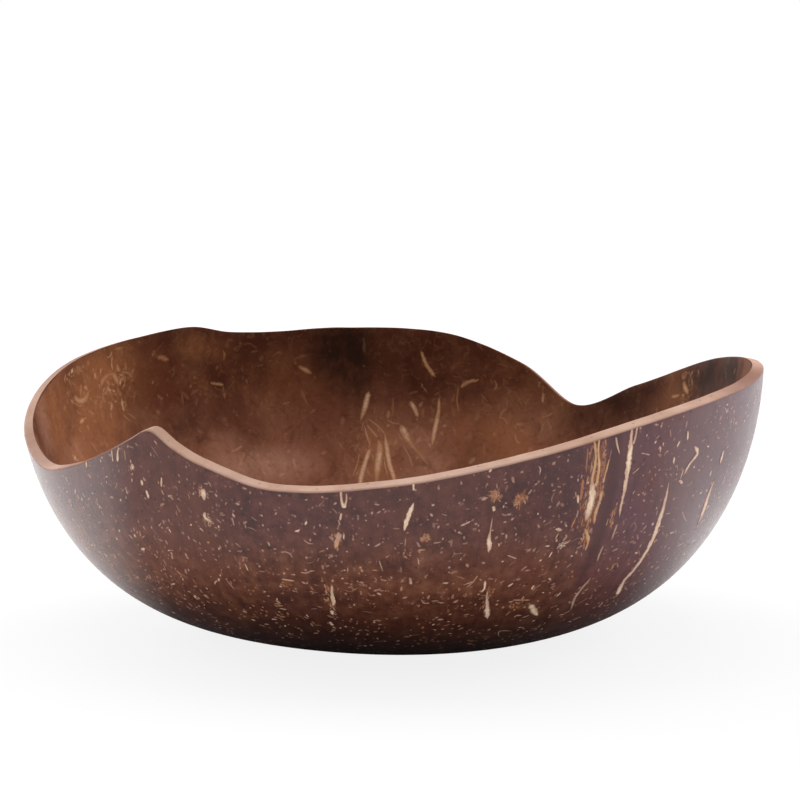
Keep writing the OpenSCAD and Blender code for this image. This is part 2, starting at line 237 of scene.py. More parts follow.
# How strands and veins are drawn: full width in mm, raggedness, lift as below, and how
# bluntly their ends close; and the seed of their draws
STRAND_STYLE = (1.2 * STRAND_W, 0.06, (0.03, 0.02), 7)
VEIN_STYLE = (1.7 * VEIN_W, 0.08, (0.015, 0.02), 6)
STRAND_SEED = 3

# Ragged bursts of short fibres in the outer face: pixel of the middle, radius in mm, tone
BURSTS = [
    ((495, 495), 1.5, AMBER), ((519, 500), 1.5, AMBER), ((203, 493), 1.3, TAN),
    ((208, 519), 1.2, TAN), ((425, 538), 1.1, AMBER), ((562, 545), 0.9, TAN),
]
BURST_FIBRES = 30

# Tufts of curled fibres in the inner face: pixel of the middle, half width and half
# height in mm, how many fibres, and their cover
INNER_TUFTS = [
    ((116, 382), 6.5, 5.5, 56, 0.6), ((82, 383), 7.0, 7.5, 48, 0.55),
    ((104, 400), 9.0, 8.0, 36, 0.4), ((76, 360), 6.0, 5.0, 18, 0.4),
    ((86, 440), 8.0, 7.0, 18, 0.35), ((190, 390), 14.0, 12.0, 22, 0.3),
    ((372, 452), 7.0, 10.0, 46, 0.4), ((412, 440), 7.0, 10.0, 34, 0.4),
    ((437, 415), 5.0, 11.0, 18, 0.4), ((505, 428), 12.0, 9.0, 30, 0.35),
    ((262, 466), 13.0, 4.0, 30, 0.4), ((688, 384), 3.0, 7.0, 30, 0.5),
    ((545, 400), 5.0, 9.0, 12, 0.35),
]

# Single marks of the outer face: tone, cover, width in mm, and for each such mark the
# pixels of the 800 px photograph that it runs through, across and down in turn
OUTER_MARKS = [
    (RUST, 0.7, 0.85, [(596, 497, 594, 510, 592, 524), (600, 445, 600, 462, 599, 478)]),
    (RUST, 0.85, 0.85, [(287, 584, 294, 585)]),
    (AMBER, 0.55, 0.55, [
        (588, 447, 587, 460, 586, 474), (601, 480, 600, 494, 598, 508),
        (606, 456, 604, 468, 603, 482),
    ]),
    (AMBER, 0.7, 0.85, [(583, 478, 582, 490, 580, 502)]),
    (PINK, 0.55, 0.4, [
        (115, 474, 115, 478), (165, 545, 165, 549), (180, 547, 180, 551), (216, 489, 217, 493),
        (219, 515, 226, 515), (222, 529, 224, 530), (240, 561, 240, 567), (273, 509, 277, 511),
        (289, 554, 292, 553), (317, 562, 319, 558), (321, 577, 323, 580), (364, 575, 367, 575),
        (378, 523, 378, 528), (410, 551, 410, 555), (430, 569, 433, 569), (447, 598, 450, 598),
        (459, 505, 462, 505), (460, 558, 463, 558), (473, 530, 476, 530), (475, 508, 478, 508),
        (541, 566, 544, 566), (547, 582, 550, 582), (552, 516, 555, 516), (559, 514, 559, 518),
        (564, 562, 567, 562), (594, 588, 596, 592), (612, 449, 610, 456, 609, 463),
        (633, 515, 637, 514), (638, 549, 640, 556), (642, 466, 644, 463), (647, 554, 649, 555),
        (658, 527, 665, 526), (665, 474, 667, 475), (670, 428, 671, 438), (677, 464, 678, 472),
        (683, 450, 686, 450), (697, 424, 697, 428),
    ]),
    (PINK, 0.55, 0.55, [
        (152, 517, 152, 522), (163, 558, 167, 567), (194, 487, 193, 489), (212, 506, 213, 509),
        (351, 591, 358, 588), (521, 543, 524, 543), (604, 475, 602, 481), (617, 562, 618, 568),
        (717, 438, 720, 438), (727, 416, 727, 420),
    ]),
    (PINK, 0.7, 0.4, [
        (227, 502, 225, 505), (385, 558, 390, 555), (604, 550, 607, 550), (610, 557, 610, 561),
        (652, 477, 652, 481), (655, 440, 660, 435), (665, 514, 671, 513),
    ]),
    (PINK, 0.7, 0.55, [
        (177, 499, 180, 499), (220, 545, 221, 550), (536, 588, 541, 584), (637, 534, 638, 540),
        (667, 533, 666, 538), (682, 511, 684, 517, 687, 522), (697, 520, 700, 514),
        (727, 431, 727, 435),
    ]),
    (PINK, 0.7, 0.85, [(643, 491, 643, 495)]),
    (PINK, 0.85, 0.4, [(225, 578, 229, 583, 235, 590)]),
    (PINK, 0.85, 0.55, [(232, 517, 233, 521, 234, 526), (245, 524, 246, 529)]),
    (TAN, 0.55, 0.4, [
        (273, 549, 277, 549), (303, 539, 308, 543, 314, 544), (379, 560, 381, 566, 383, 572),
        (436, 602, 445, 603), (463, 615, 470, 614), (498, 636, 500, 631, 513, 631),
        (566, 568, 572, 563), (632, 474, 636, 471, 640, 467),
    ]),
    (TAN, 0.55, 0.55, [(292, 590, 296, 592), (365, 514, 366, 517), (384, 591, 387, 591)]),
    (TAN, 0.7, 0.4, [
        (280, 552, 286, 552, 290, 554, 293, 558), (300, 572, 306, 573, 311, 571, 315, 571),
        (374, 504, 380, 505), (418, 557, 419, 566), (421, 599, 424, 603, 430, 603),
        (466, 588, 473, 582, 478, 575), (507, 555, 512, 557, 517, 559), (521, 618, 530, 615),
        (555, 540, 559, 532), (641, 453, 646, 454, 650, 455),
    ]),
    (TAN, 0.7, 0.55, [
        (199, 528, 201, 529, 204, 532), (267, 541, 269, 544, 270, 547),
        (374, 547, 378, 545, 381, 543), (430, 513, 433, 517), (503, 522, 507, 522),
        (523, 607, 526, 607), (562, 544, 566, 543, 571, 540), (565, 524, 567, 527),
        (570, 477, 573, 477), (578, 478, 578, 482), (639, 428, 642, 428),
    ]),
    (TAN, 0.7, 0.85, [(457, 626, 461, 626)]),
    (TAN, 0.85, 0.4, [(512, 600, 521, 600, 531, 600), (616, 436, 617, 445, 620, 455)]),
    (TAN, 0.85, 0.55, [(281, 579, 288, 580, 295, 581), (460, 526, 465, 524, 471, 521)]),
    (TAN, 0.85, 0.85, [(410, 577, 411, 585)]),
    (CREAM, 0.7, 0.55, [(442, 583, 449, 583), (545, 546, 550, 546)]),
    (CREAM, 0.85, 0.55, [(578, 494, 578, 504)]),
    (CREAM, 0.85, 1.7, [(530, 604, 533, 609, 537, 616)]),
]

# The same for the inner face
INNER_MARKS = [
    (AMBER, 0.4, 1.1, [(679, 398, 690, 401)]),
    (PINK, 0.3, 0.6, [
        (63, 405, 68, 412), (88, 440, 90, 446), (375, 406, 374, 415), (418, 470, 426, 465),
    ]),
    (PINK, 0.3, 0.8, [
        (76, 384, 78, 392), (83, 368, 84, 378, 82, 386), (90, 415, 94, 418), (192, 383, 197, 383),
        (220, 437, 224, 437), (238, 343, 243, 343), (250, 352, 259, 351), (256, 366, 264, 365),
        (261, 465, 266, 467), (265, 454, 267, 461), (295, 471, 299, 471), (304, 460, 307, 461),
        (314, 465, 317, 466), (440, 393, 439, 405), (490, 378, 493, 385), (500, 403, 498, 411),
        (544, 383, 543, 391, 541, 402),
    ]),
    (PINK, 0.4, 0.6, [(67, 373, 66, 380, 65, 385)]),
    (PINK, 0.4, 0.8, [
        (262, 442, 264, 449), (345, 451, 345, 460, 349, 466), (393, 396, 393, 408, 392, 418),
    ]),
    (PINK, 0.4, 1.1, [(274, 474, 279, 476)]),
    (PINK, 0.85, 2.0, [
        (87, 355, 88, 362, 89, 368), (114, 346, 124, 348), (156, 357, 163, 358, 170, 361),
        (63, 408, 67, 407), (158, 408, 158, 416), (102, 434, 104, 437),
    ]),
    (TAN, 0.3, 0.6, [(364, 421, 361, 432), (540, 418, 547, 416, 553, 413)]),
    (TAN, 0.3, 0.8, [
        (110, 410, 112, 420), (112, 393, 118, 395), (459, 386, 457, 399, 459, 414),
        (683, 383, 686, 388, 689, 393),
    ]),
    (TAN, 0.3, 1.1, [
        (120, 372, 128, 373, 133, 378), (235, 468, 244, 470), (514, 425, 525, 424),
        (698, 368, 699, 376),
    ]),
    (TAN, 0.4, 0.6, [
        (360, 452, 357, 465, 352, 478), (386, 419, 393, 423, 401, 424),
        (403, 445, 409, 456, 413, 468),
    ]),
    (TAN, 0.4, 0.8, [(230, 452, 236, 450, 243, 445), (367, 418, 378, 426, 385, 434)]),
    (TAN, 0.55, 0.6, [
        (79, 423, 83, 420, 87, 417), (371, 452, 374, 462, 373, 478), (383, 445, 384, 460, 388, 478),
    ]),
    (TAN, 0.55, 0.8, [
        (72, 454, 76, 459, 80, 461), (364, 424, 367, 436, 371, 447), (366, 424, 373, 432, 378, 438),
    ]),
    (TAN, 0.6, 1.3, [(438, 410, 435, 426, 431, 444), (460, 388, 468, 382, 480, 380)]),
    (TAN, 0.75, 1.5, [
        (67, 376, 67, 382), (79, 423, 85, 419), (421, 350, 425, 362, 430, 370, 436, 378),
    ]),
    (CREAM, 0.9, 1.9, [
        (70, 370, 74, 372), (73, 396, 78, 403, 85, 400, 90, 393), (73, 456, 77, 460),
        (101, 387, 103, 379, 108, 375, 114, 375, 119, 380, 120, 387),
    ]),
]

# Broad patches of the inner face by kind: strength, pixel of the middle, half width and
# half height in mm. The dark ones are painted shade, the pale ones painted light and
# sheen, and the warm ones partly painted light, partly the face's own warm colour
INNER_PATCHES = {
    # Painted shade
    "dark": [
        (1.0, (354, 348), 6.5, 15.0), (1.0, (336, 346), 8.0, 12.0), (0.25, (395, 350), 16.0, 9.0),
        (0.6, (620, 405), 24.0, 8.0), (0.4, (190, 425), 9.0, 6.0), (0.8, (706, 376), 16.0, 9.0),
        (0.95, (731, 368), 10.0, 9.0)],
    # Partly painted light that brightens the left of the face, partly its own warm colour
    "warm": [
        (1.0, (95, 412), 13.0, 13.0), (0.9, (80, 450), 9.0, 6.0), (0.8, (510, 442), 13.0, 8.0),
        (0.5, (462, 430), 7.0, 9.0), (0.5, (195, 347), 9.0, 4.0), (0.7, (380, 458), 6.0, 9.0),
        (0.5, (672, 396), 9.0, 5.0), (1.0, (100, 380), 16.0, 10.0), (0.8, (56, 415), 11.0, 13.0)],
    "red": [
        (0.5, (158, 388), 9.0, 10.0), (0.6, (66, 373), 4.0, 4.0), (0.6, (732, 368), 5.0, 3.0),
        (0.5, (405, 458), 5.0, 5.0), (0.5, (320, 400), 14.0, 10.0)],
    # Painted light and sheen
    "pale": [
        (0.75, (262, 466), 16.0, 6.0), (0.3, (75, 455), 9.0, 5.0), (0.4, (234, 446), 8.0, 5.0),
        (0.4, (42, 420), 7.0, 12.0)],
}
# How far a patch, stain or painted shade of the rim reaches past its half width
PATCH_REACH = 1.35

# Plain pale floor: its colour, half its size, and where it turns to white, in metres
FLOOR_TINT = (0.92, 0.92, 0.92)
FLOOR_HALF, FLOOR_NEAR, FLOOR_FAR = 4.0, 0.2, 0.7
# How white the floor is to the camera near the bowl, where its shadow lies
FLOOR_WHITE = 0.85
# Light from all round, and soft boxes: place and size in metres, and radiance
WORLD_LIGHT = 0.5
SOFTBOXES = [
    ("top", (0.0, 0.35, 1.25), 1.2, 1.0, 2.2),
    ("left", (-0.82, 0.88, 0.40), 1.0, 0.7, 7.0),
    ("near_left", (-1.2, 0.15, 0.40), 0.6, 0.7, 1.1),
    ("right", (0.95, 0.66, 0.40), 1.0, 0.7, 3.8),
    ("side", (1.1, 0.0, 0.7), 0.8, 0.8, 1.2),
]

# Scattered fibres: how many of each face, points along each, and the seed of their draws
OUTER_FLECKS, INNER_FLECKS = 5600, 500
OUTER_STATIONS, INNER_STATIONS = 5, 8
FLECK_SEED = 7
# Dots, chips and hairs of the outer face: share of all up to this kind, least and most
# length and half width in mm, spread of their curl in degrees, covers, and the covers' power
FLECK_KINDS = [
    (0.70, (0.5, 1.0), (0.2, 0.4), 0, (0.25, 1.0), 1.3),
    (0.95, (0.8, 1.8), (0.22, 0.42), 40, (0.3, 0.85), 1),
    (1.00, (1.4, 2.8), (0.14, 0.2), 60, (0.3, 0.6), 1),
]
# Share of the outer ones that are bright, tones of those in stains, and their highest place
BRIGHT_CHANCE = 0.09
STAIN_TONES = (0.1, 0.25, AMBER, 0.4, 0.45, 0.7)
TOP_SHARE = 0.985

# Noises of the finishes: scale, detail, roughness and warp
GRAINS = {
    "mottle": (330.0, 4.0, 0.62), "broad": (34.0, 3.0, 0.55), "rust": (900.0, 3.0, 0.7),
    "sheen": (300.0, 3.0, 0.55), "relief": (700.0, 4.0, 0.6), "rim clouds": (150.0, 4.0, 0.6),
    "stretches": (45.0, 3.0, 0.6), "pores": (1300.0, 3.0, 0.75), "saw marks": (1100.0, 3.0, 0.7),
    "clouds": (55.0, 5.0, 0.62, 0.4), "curls": (430.0, 4.0, 0.7, 1.6),
    "patches": (190.0, 3.0, 0.6, 1.0), "fine grain": (1100.0, 2.0, 0.6),
    "oil": (200.0, 3.0, 0.55), "scraped": (420.0, 4.0, 0.6), "worn": (1600.0, 2.0, 0.6),
    "base clouds": (90.0, 4.0, 0.6),
}
# Noises that are drawn out: scale along each axis, detail and roughness
STRETCHED = {
    "streaks": ((60, 60, 14), 4.0, 0.6), "ragged": ((640, 640, 90), 3.0, 0.7),
    "wisps": ((26, 26, 26), 4.0, 0.65), "scratches": ((150, 2600, 1), 2.0, 0.5),
    "mark threads": ((0.9, 6.0, 3.0), 3.0, 0.6), "strand threads": ((0.5, 6.5, 3.0), 4.0, 0.62),
}
# Dots in some cells of a pattern: the cells' scale, where a dot starts and is full, and the
# part of a cell's random colour that chooses it, with the values for none and all of it
DOTS = {
    "dust": (760.0, 0.22, 0.088, "X", 0.52, 0.62),
    "fine dust": (1500.0, 0.30, 0.12, "X", 0.55, 0.65),
    "pits": (620.0, 0.24, 0.1, "Y", 0.66, 0.72), "rim": (760.0, 0.26, 0.12, "X", 0.74, 0.78),
}

# Outer skin: values of the mottle, and its colours there in the upper and the lower half
MOTTLE_AT = (0.32, 0.5, 0.68)
SKIN_HIGH = ((0.052, 0.0115, 0.0095), (0.093, 0.0235, 0.0192), (0.140, 0.040, 0.0300))
SKIN_LOW = ((0.080, 0.0210, 0.0102), (0.146, 0.0450, 0.0225), (0.228, 0.086, 0.0430))
# The mauve tint is a painted sheen, laid over the right side of the skin
MAUVE_PAINTED_SHEEN, RUDDY, DUSKY = (0.121, 0.050, 0.066), (0.135, 0.035, 0.017), (0.062, 0.018, 0.017)
STREAK, BAND_TINT = (0.035, 0.007, 0.005), (0.066, 0.019, 0.019)
# The foot's colour is painted shade, darkening the skin to near black towards the flat
PIT, FOOT_PAINTED_SHADE = (0.012, 0.003, 0.002), (0.010, 0.0026, 0.0015)
DUST = [("dust", (0.33, 0.16, 0.125), 0.5), ("fine dust", (0.26, 0.11, 0.085), 0.45)]
STAIN_COLOURS = [
    (0.35, (0.10, 0.022, 0.008)), (0.55, (0.26, 0.085, 0.03)), (0.72, (0.46, 0.22, 0.105))]
# Its polish: its own gloss, its coat at the bowl's ends, at the upper right as a share of
# that, and between them, and the coat's roughness and index
OUTER_SPECULAR, OUTER_SHEEN, SHEEN_TINT = 0.02, 0.02, (0.9, 0.82, 1.0, 1)
END_COAT, UPPER_RIGHT_COAT, MIDDLE_COAT = 1.0, 0.62, 0.42
COAT_ROUGHNESS, OUTER_COAT_IOR = 0.27, 1.8
# Sawn rim: clouds, paler and browner stretches, pores, dots, painted shade and borders
RIM_COLOURS = [
    (0.3, (0.445, 0.265, 0.187)), (0.5, (0.548, 0.338, 0.25)), (0.7, (0.61, 0.405, 0.315))]
RIM_PINK, RIM_TAN = (0.60, 0.40, 0.335), (0.42, 0.245, 0.16)
RIM_PORE, RIM_DOT, RIM_PAINTED_SHADE = (0.30, 0.15, 0.10), (0.22, 0.10, 0.065), (0.20, 0.085, 0.060)
RIM_OUTER_EDGE, RIM_INNER_EDGE = (0.24, 0.11, 0.085), (0.34, 0.16, 0.09)
# Inner face: the mottle's colours as above, where the lighter lower ones are painted
# light, its foot, curls, small patches and fine grain
INSIDE_HIGH = ((0.064, 0.018, 0.0100), (0.115, 0.0375, 0.0190), (0.197, 0.074, 0.0335))
INSIDE_LOW_PAINTED_LIGHT = ((0.205, 0.074, 0.040), (0.320, 0.130, 0.077), (0.430, 0.195, 0.120))
INSIDE_FOOT, CURL, INSIDE_GRAIN = (0.10, 0.038, 0.022), (0.62, 0.34, 0.18), (0.055, 0.018, 0.010)
PATCH_LIGHT, PATCH_DARK = (0.23, 0.105, 0.052), (0.055, 0.014, 0.008)
# Its broad patches in the order in which they are laid: kind, colour and most cover;
# the dark kind is painted shade, the pale one painted light and sheen, the warm one
# partly painted light
PATCH_LOOKS = [
    ("warm", (0.38, 0.148, 0.062), 0.75), ("red", (0.13, 0.030, 0.014), 0.7),
    ("pale", (0.52, 0.27, 0.185), 0.8), ("dark", (0.026, 0.0115, 0.0082), 0.9),
]
# Threads of a mark, threads and sides of a strand, and how far in from its side a fleck,
# and a vein, has its full cover
THREAD_BROWN, THREAD_DARK = (0.24, 0.10, 0.06), (0.36, 0.16, 0.08)
THREAD_LIGHT, STRAND_SIDE = (0.97, 0.79, 0.60), (0.34, 0.13, 0.055)
FLECK_FULL_EDGE, VEIN_FULL_EDGE = 0.75, 1.0
# Sanded flat underneath
BASE_COLOURS = [(0.35, (0.16, 0.085, 0.055)), (0.65, (0.30, 0.17, 0.11))]
SCRATCH = (0.38, 0.24, 0.17)

# The photograph's view: the camera's distance, rise over the aim, tilt and roll
FRAME_PX = 800
LENS, SENSOR = 133.35, 36.0
CAMERA_AWAY, CAMERA_RISE = 600.0, 10.0
CAMERA_SIDE, AIM_Z = 1.96, 25.0
CAMERA_DOWN, CAMERA_ROLL = 8.03, -0.95
# Azimuths of the outer and the inner face that it sees, and steps to find a pixel's place
SEEN_AZIMUTHS = ((186, 354), (-12, 206))
SEEN_TRIES = 5

# The drawn skin lies this far inside the solid's, whose facets cut the curve's corners
INSET = 0.04
# Rings and columns of the wall, and its eased edges
AZ_STEPS = 600
OUTER_ROWS = 74
INNER_ROWS = 62
EASE = 0.3
EASE_ROWS = 4
FLAT_ROWS = 6
# Hand-sawn dips of the rim in mm, from waves: how many round it, height and start
RIDGE_DIP = 0.04
RIDGE_WAVES = ((13, 1.0, 0.7), (29, 0.8, 2.1), (61, 0.5, 4.0))
# Angles in degrees from which an edge of the wall, and of a strip, is drawn sharp
WALL_CREASE, STRIP_CREASE = 50, 40
# Strands that reach the rim stop at this share of its height
RIM_STOP = 0.993
# A run that starts above this share runs out over the rim, with no fading end
OPEN_TOP = 0.97
# How deep the hidden keel of a strip goes, and the half width from which it is so deep
KEEL, FULL_HALF = 0.35, 0.5
# How far the crown of a mark or fleck stands over its edges, and these over the face
MARK_LIFT, FLECK_LIFT = (0.004, 0.012), (0.003, 0.006)
# Their ends are cut by this share of their length, and their sides vary by these shares
END_CUT, MARK_RAGGED, FLECK_RAGGED = 0.08, 0.22, 0.3
# Stretch of the fine threads' noise over which strips are spread
SEEDS = 50


def rim_height(azimuth):
    """Rim height in mm: a smooth closed curve through the places of RIM."""
    places = np.array(RIM, float)
    x = np.concatenate((places[-1:, 0] - 360, places[:, 0], places[:2, 0] + 360))
    y = np.concatenate((places[-1:, 1], places[:, 1], places[:2, 1]))
    a = np.mod(azimuth, 360.0)
    i = np.clip(np.searchsorted(x, a, side="right") - 1, 1, len(RIM))
    width = x[i + 1] - x[i]
    t = (a - x[i]) / width
    rise = (y[i + 1] - y[i - 1]) / (x[i + 1] - x[i - 1])
    next_rise = (y[i + 2] - y[i]) / (x[i + 2] - x[i])
    ends = y[i] * (1 + 2 * t) * (1 - t) ** 2 + y[i + 1] * t * t * (3 - 2 * t)
    return RIM_H * (ends + width * (rise * t * (1 - t) ** 2 - next_rise * t * t * (1 - t)))


def wall_at(azimuth):
    """Wall thickness at the rim, by azimuth."""
    return WALL * (1 + UNEVEN * np.cos(np.radians(azimuth - THICK_TURN)))


def plan_radius(azimuth):
    """Radius of the nut's plan at its girth, by azimuth."""
    oval = OVAL * np.cos(np.radians(2 * (azimuth - OVAL_TURN)))
    seam = SEAM * np.cos(np.radians(3 * (azimuth - SEAM_TURN)))
    return GIRTH_W / 2 * (1 + oval + seam)


def under_skin(azimuth, z, depth):
    """Points at some depth under the natural outer skin, square to the wall."""
    below = (GIRTH_H - z) / NUT_DEPTH
    fullness = np.maximum(1 - below ** 2, 1e-9)
    skin_r = plan_radius(azimuth) * fullness ** PROFILE
    slope = skin_r * 2 * PROFILE * below / (fullness * NUT_DEPTH)
    length = np.sqrt(1 + slope ** 2)
    r = skin_r - depth / length
    turn = np.radians(azimuth)
    return np.stack((
        r * np.cos(turn) + LEAN[0] * z / GIRTH_H,
        r * np.sin(turn) + LEAN[1] * z / GIRTH_H,
        z + depth * slope / length), -1)


def outer_point(azimuth, share, lift=0.0):
    """Points of the outer face, by share of the rim's height there, lifted out of it."""
    return under_skin(azimuth, rim_height(azimuth) * share, INSET - lift)


def inner_point(azimuth, share, lift=0.0):
    """Points of the inner face, by share of the way from the pole to the rim."""
    rim = rim_height(azimuth)
    rim = rim + SLANT * (rim / RIM_H) ** SLANT_POWER
    z = (rim + SANDED) * np.maximum(share, 0) ** INNER_POWER - SANDED
    return under_skin(azimuth, z, POLE_WALL + (wall_at(azimuth) - POLE_WALL) * share + lift)


def face_point(inside, azimuth, share, lift=0.0):
    """Points of the inner face, or else of the outer one."""
    return (inner_point if inside else outer_point)(azimuth, share, lift)


def face_scale(inside, azimuth, share):
    """Millimetres per degree of azimuth and per unit of share, at places of one face."""
    turn, rise = 0.05, 0.002
    east = face_point(inside, azimuth + turn, share) - face_point(inside, azimuth - turn, share)
    up = face_point(inside, azimuth, share + rise) - face_point(inside, azimuth, share - rise)
    return np.linalg.norm(east, axis=-1) / (2 * turn), np.linalg.norm(up, axis=-1) / (2 * rise)


def turned(azimuth, start):
    """Degrees from start to azimuth, the short way round."""
    return (azimuth - start + 180) % 360 - 180


def camera_axes():
    """The camera's place in mm, and the directions right, up and ahead of it."""
    rise, down, roll = (math.radians(a) for a in (CAMERA_RISE, CAMERA_DOWN, CAMERA_ROLL))
    place = np.array((
        CAMERA_SIDE, -CAMERA_AWAY * math.cos(rise), AIM_Z + CAMERA_AWAY * math.sin(rise)))
    ahead = np.array((0, math.cos(down), -math.sin(down)))
    right = np.array((1.0, 0, 0))
    up = np.cross(right, ahead)
    return (place, right * math.cos(roll) + up * math.sin(roll),
            up * math.cos(roll) - right * math.sin(roll), ahead)


def to_pixels(points):
    """Where the camera sees points, in pixels from the frame's upper left corner."""
    place, right, up, ahead = camera_axes()
    away = points - place
    scale = FRAME_PX * LENS / SENSOR / (away @ ahead)
    return np.stack((FRAME_PX / 2 + away @ right * scale, FRAME_PX / 2 - away @ up * scale), -1)


def seen_at(inside, pixels):
    """Azimuth and share of the places of one face that the camera sees at pixels."""
    pixels = np.array(pixels, float)
    grid = np.meshgrid(np.arange(*SEEN_AZIMUTHS[inside], 2.0), np.arange(0.08, 1.0, 0.02))
    azimuth, share = (side.ravel() for side in grid)
    seen = to_pixels(face_point(inside, azimuth, share))
    nearest = ((pixels[:, None] - seen[None]) ** 2).sum(-1).argmin(1)
    a, s = azimuth[nearest], share[nearest]
    turn, rise = 0.05, 0.001
    for _ in range(SEEN_TRIES):
        here = to_pixels(face_point(inside, a, s))
        east = (to_pixels(face_point(inside, a + turn, s)) - here) / turn
        up = (to_pixels(face_point(inside, a, s + rise)) - here) / rise
        miss = pixels - here
        area = east[:, 0] * up[:, 1] - east[:, 1] * up[:, 0]
        a = a + np.clip((miss[:, 0] * up[:, 1] - miss[:, 1] * up[:, 0]) / area, -2, 2)
        s = s + np.clip((east[:, 0] * miss[:, 1] - east[:, 1] * miss[:, 0]) / area, -0.02, 0.02)
    return a, np.clip(s, 0.02, RIM_STOP)


def new_object(name, points, faces, materials):
    """A smooth mesh object from points in mm, that rides on the bowl's one body."""
    mesh = bpy.data.meshes.new(name)
    mesh.from_pydata((np.asarray(points) * MM).tolist(), [], faces)
    for material in materials:
        mesh.materials.append(material)
    mesh.shade_smooth()
    mesh.validate()
    piece = bpy.data.objects.new(name, mesh)
    bpy.context.scene.collection.objects.link(piece)
    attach(piece, "root")
    return piece


def add_values(piece, name, values, kind="FLOAT"):
    """Writes one value for each point, for the finishes to read, and 0 where they run out."""
    layer = piece.data.attributes.new(name, kind, "POINT")
    key, parts = ("vector", 3) if kind == "FLOAT_VECTOR" else ("value", 1)
    flat = np.zeros(len(layer.data) * parts, np.float32)
    flat[:values.size] = values.ravel()
    layer.data.foreach_set(key, flat)


def smooth_fall(distance):
    """1 in the middle, falling smoothly to 0 at distance 1 and beyond."""
    near = np.clip(1 - distance, 0, 1)
    return near * near * (3 - 2 * near)


def patch_values(inside, patches, azimuth, share):
    """How strongly each place of a face is covered by soft patches, 0 to 1."""
    cover = np.zeros_like(share)
    per_degree, per_share = face_scale(inside, azimuth, np.maximum(share, 0.02))
    for at, height, half_w, half_h, strength in patches:
        across = turned(azimuth, at) * per_degree / half_w
        along = (share - height) * per_share / half_h
        cover = np.maximum(cover, strength * smooth_fall(np.hypot(across, along) / PATCH_REACH))
    return cover


def band_values(azimuth, share):
    """How strongly a place of the outer face lies in the smooth band, 0 to 1."""
    middles, heights = np.array(BAND)[::-1].T
    turn = turned(azimuth, np.interp(share, heights, middles))
    per_degree, _ = face_scale(False, azimuth, np.maximum(share, 0.02))
    fade = np.clip((share - BAND_FOOT) / BAND_FADE, 0, 1)
    return smooth_fall(np.abs(turn * per_degree) / BAND_HALF / BAND_REACH) * fade


def inner_patches(rows):
    """Rows of INNER_PATCHES as patch_values reads them."""
    strengths, pixels, half_w, half_h = zip(*rows)
    return list(zip(*seen_at(True, pixels), half_w, half_h, strengths))


def add_tints(piece, azimuth, share, inner):
    """Writes the stains and the band of the outer points, and the patches of the others, mostly
    painted light, sheen and shade.
    """
    places = {face: (azimuth[inner == face], share[inner == face]) for face in (False, True)}
    tints = {"stain": patch_values(False, STAINS, *places[False]),
             "band": band_values(*places[False])}
    for kind, rows in INNER_PATCHES.items():
        tints[kind] = patch_values(True, inner_patches(rows), *places[True])
    for name, cover in tints.items():
        values = np.zeros_like(share)
        values[inner == (name in INNER_PATCHES)] = cover
        add_values(piece, name, values)


def ridge_wander(azimuth):
    """Small hand-sawn dips of the rim, in mm, never above the planned line."""
    turn = np.radians(azimuth)
    waves = sum(high * np.sin(count * turn + start) for count, high, start in RIDGE_WAVES)
    return -RIDGE_DIP * (1 + waves / sum(high for _, high, _ in RIDGE_WAVES))


def corner(start, apex, end):
    """Rows that turn an eased corner from start to end round its apex, ends left out."""
    turns = [math.pi / 2 * i / EASE_ROWS for i in range(1, EASE_ROWS)]
    return [apex + (start - apex) * (1 - math.sin(turn)) + (end - apex) * (1 - math.cos(turn))
            for turn in turns]


def wall_rows():
    """Rings of points from the flat's edge up, over the rim and down to the inner pole.

    Returns the azimuths, the rings, the share of each ring's points along its own face,
    the first ring of the rim face and the first of the inner face."""
    azimuth = np.arange(AZ_STEPS) * 360.0 / AZ_STEPS
    rim, wander = rim_height(azimuth), ridge_wander(azimuth)
    top = 1 + wander / rim
    low = top - EASE / rim
    shares = [(j / OUTER_ROWS) ** 2 * low for j in range(OUTER_ROWS + 1)]
    rows = [outer_point(azimuth, share) for share in shares]
    outer_edge = outer_point(azimuth, top)
    inner_edge = inner_point(azimuth, 1.0) + np.outer(wander, (0, 0, 1))
    eased = (EASE / wall_at(azimuth))[:, None] * (inner_edge - outer_edge)
    starts, ends = outer_edge + eased, inner_edge - eased
    first_rim = len(rows)
    rows += corner(rows[-1], outer_edge, starts)
    rows += [starts + (ends - starts) * i / FLAT_ROWS for i in range(FLAT_ROWS + 1)]
    inner_top = 1 - EASE / (rim * INNER_POWER)
    rows += corner(ends, inner_edge, inner_point(azimuth, inner_top))
    first_inner = len(rows)
    shares += [np.ones(AZ_STEPS)] * (first_inner - first_rim)
    down = [inner_top * (1 - j / INNER_ROWS) for j in range(INNER_ROWS)]
    rows += [inner_point(azimuth, share) for share in down]
    return azimuth, rows, shares + down, first_rim, first_inner


def build_wall(materials):
    """The wall as one closed mesh: outer face, rim face, inner face and sanded flat."""
    azimuth, rows, shares, first_rim, first_inner = wall_rows()
    count = len(rows)
    poles = np.array([[0, 0, POLE_WALL - SANDED], [0, 0, 0]])
    faces, finish = [], []
    for j in range(count - 1):
        kind = 0 if j < first_rim - 1 else (1 if j < first_inner - EASE_ROWS else 2)
        for i in range(AZ_STEPS):
            here, there = j * AZ_STEPS + i, j * AZ_STEPS + (i + 1) % AZ_STEPS
            faces.append((here, there, there + AZ_STEPS, here + AZ_STEPS))
            finish.append(kind)
    last = (count - 1) * AZ_STEPS
    for i in range(AZ_STEPS):
        after = (i + 1) % AZ_STEPS
        faces += [(last + i, last + after, count * AZ_STEPS), (after, i, count * AZ_STEPS + 1)]
        finish += [2, 3]
    wall = new_object("bowl_wall", np.concatenate(rows + [poles]), faces, materials)
    wall.data.polygons.foreach_set("material_index", finish)
    wall.data.set_sharp_from_angle(angle=math.radians(WALL_CREASE))
    add_wall_values(wall, azimuth, shares, first_rim, first_inner)
    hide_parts("shell")


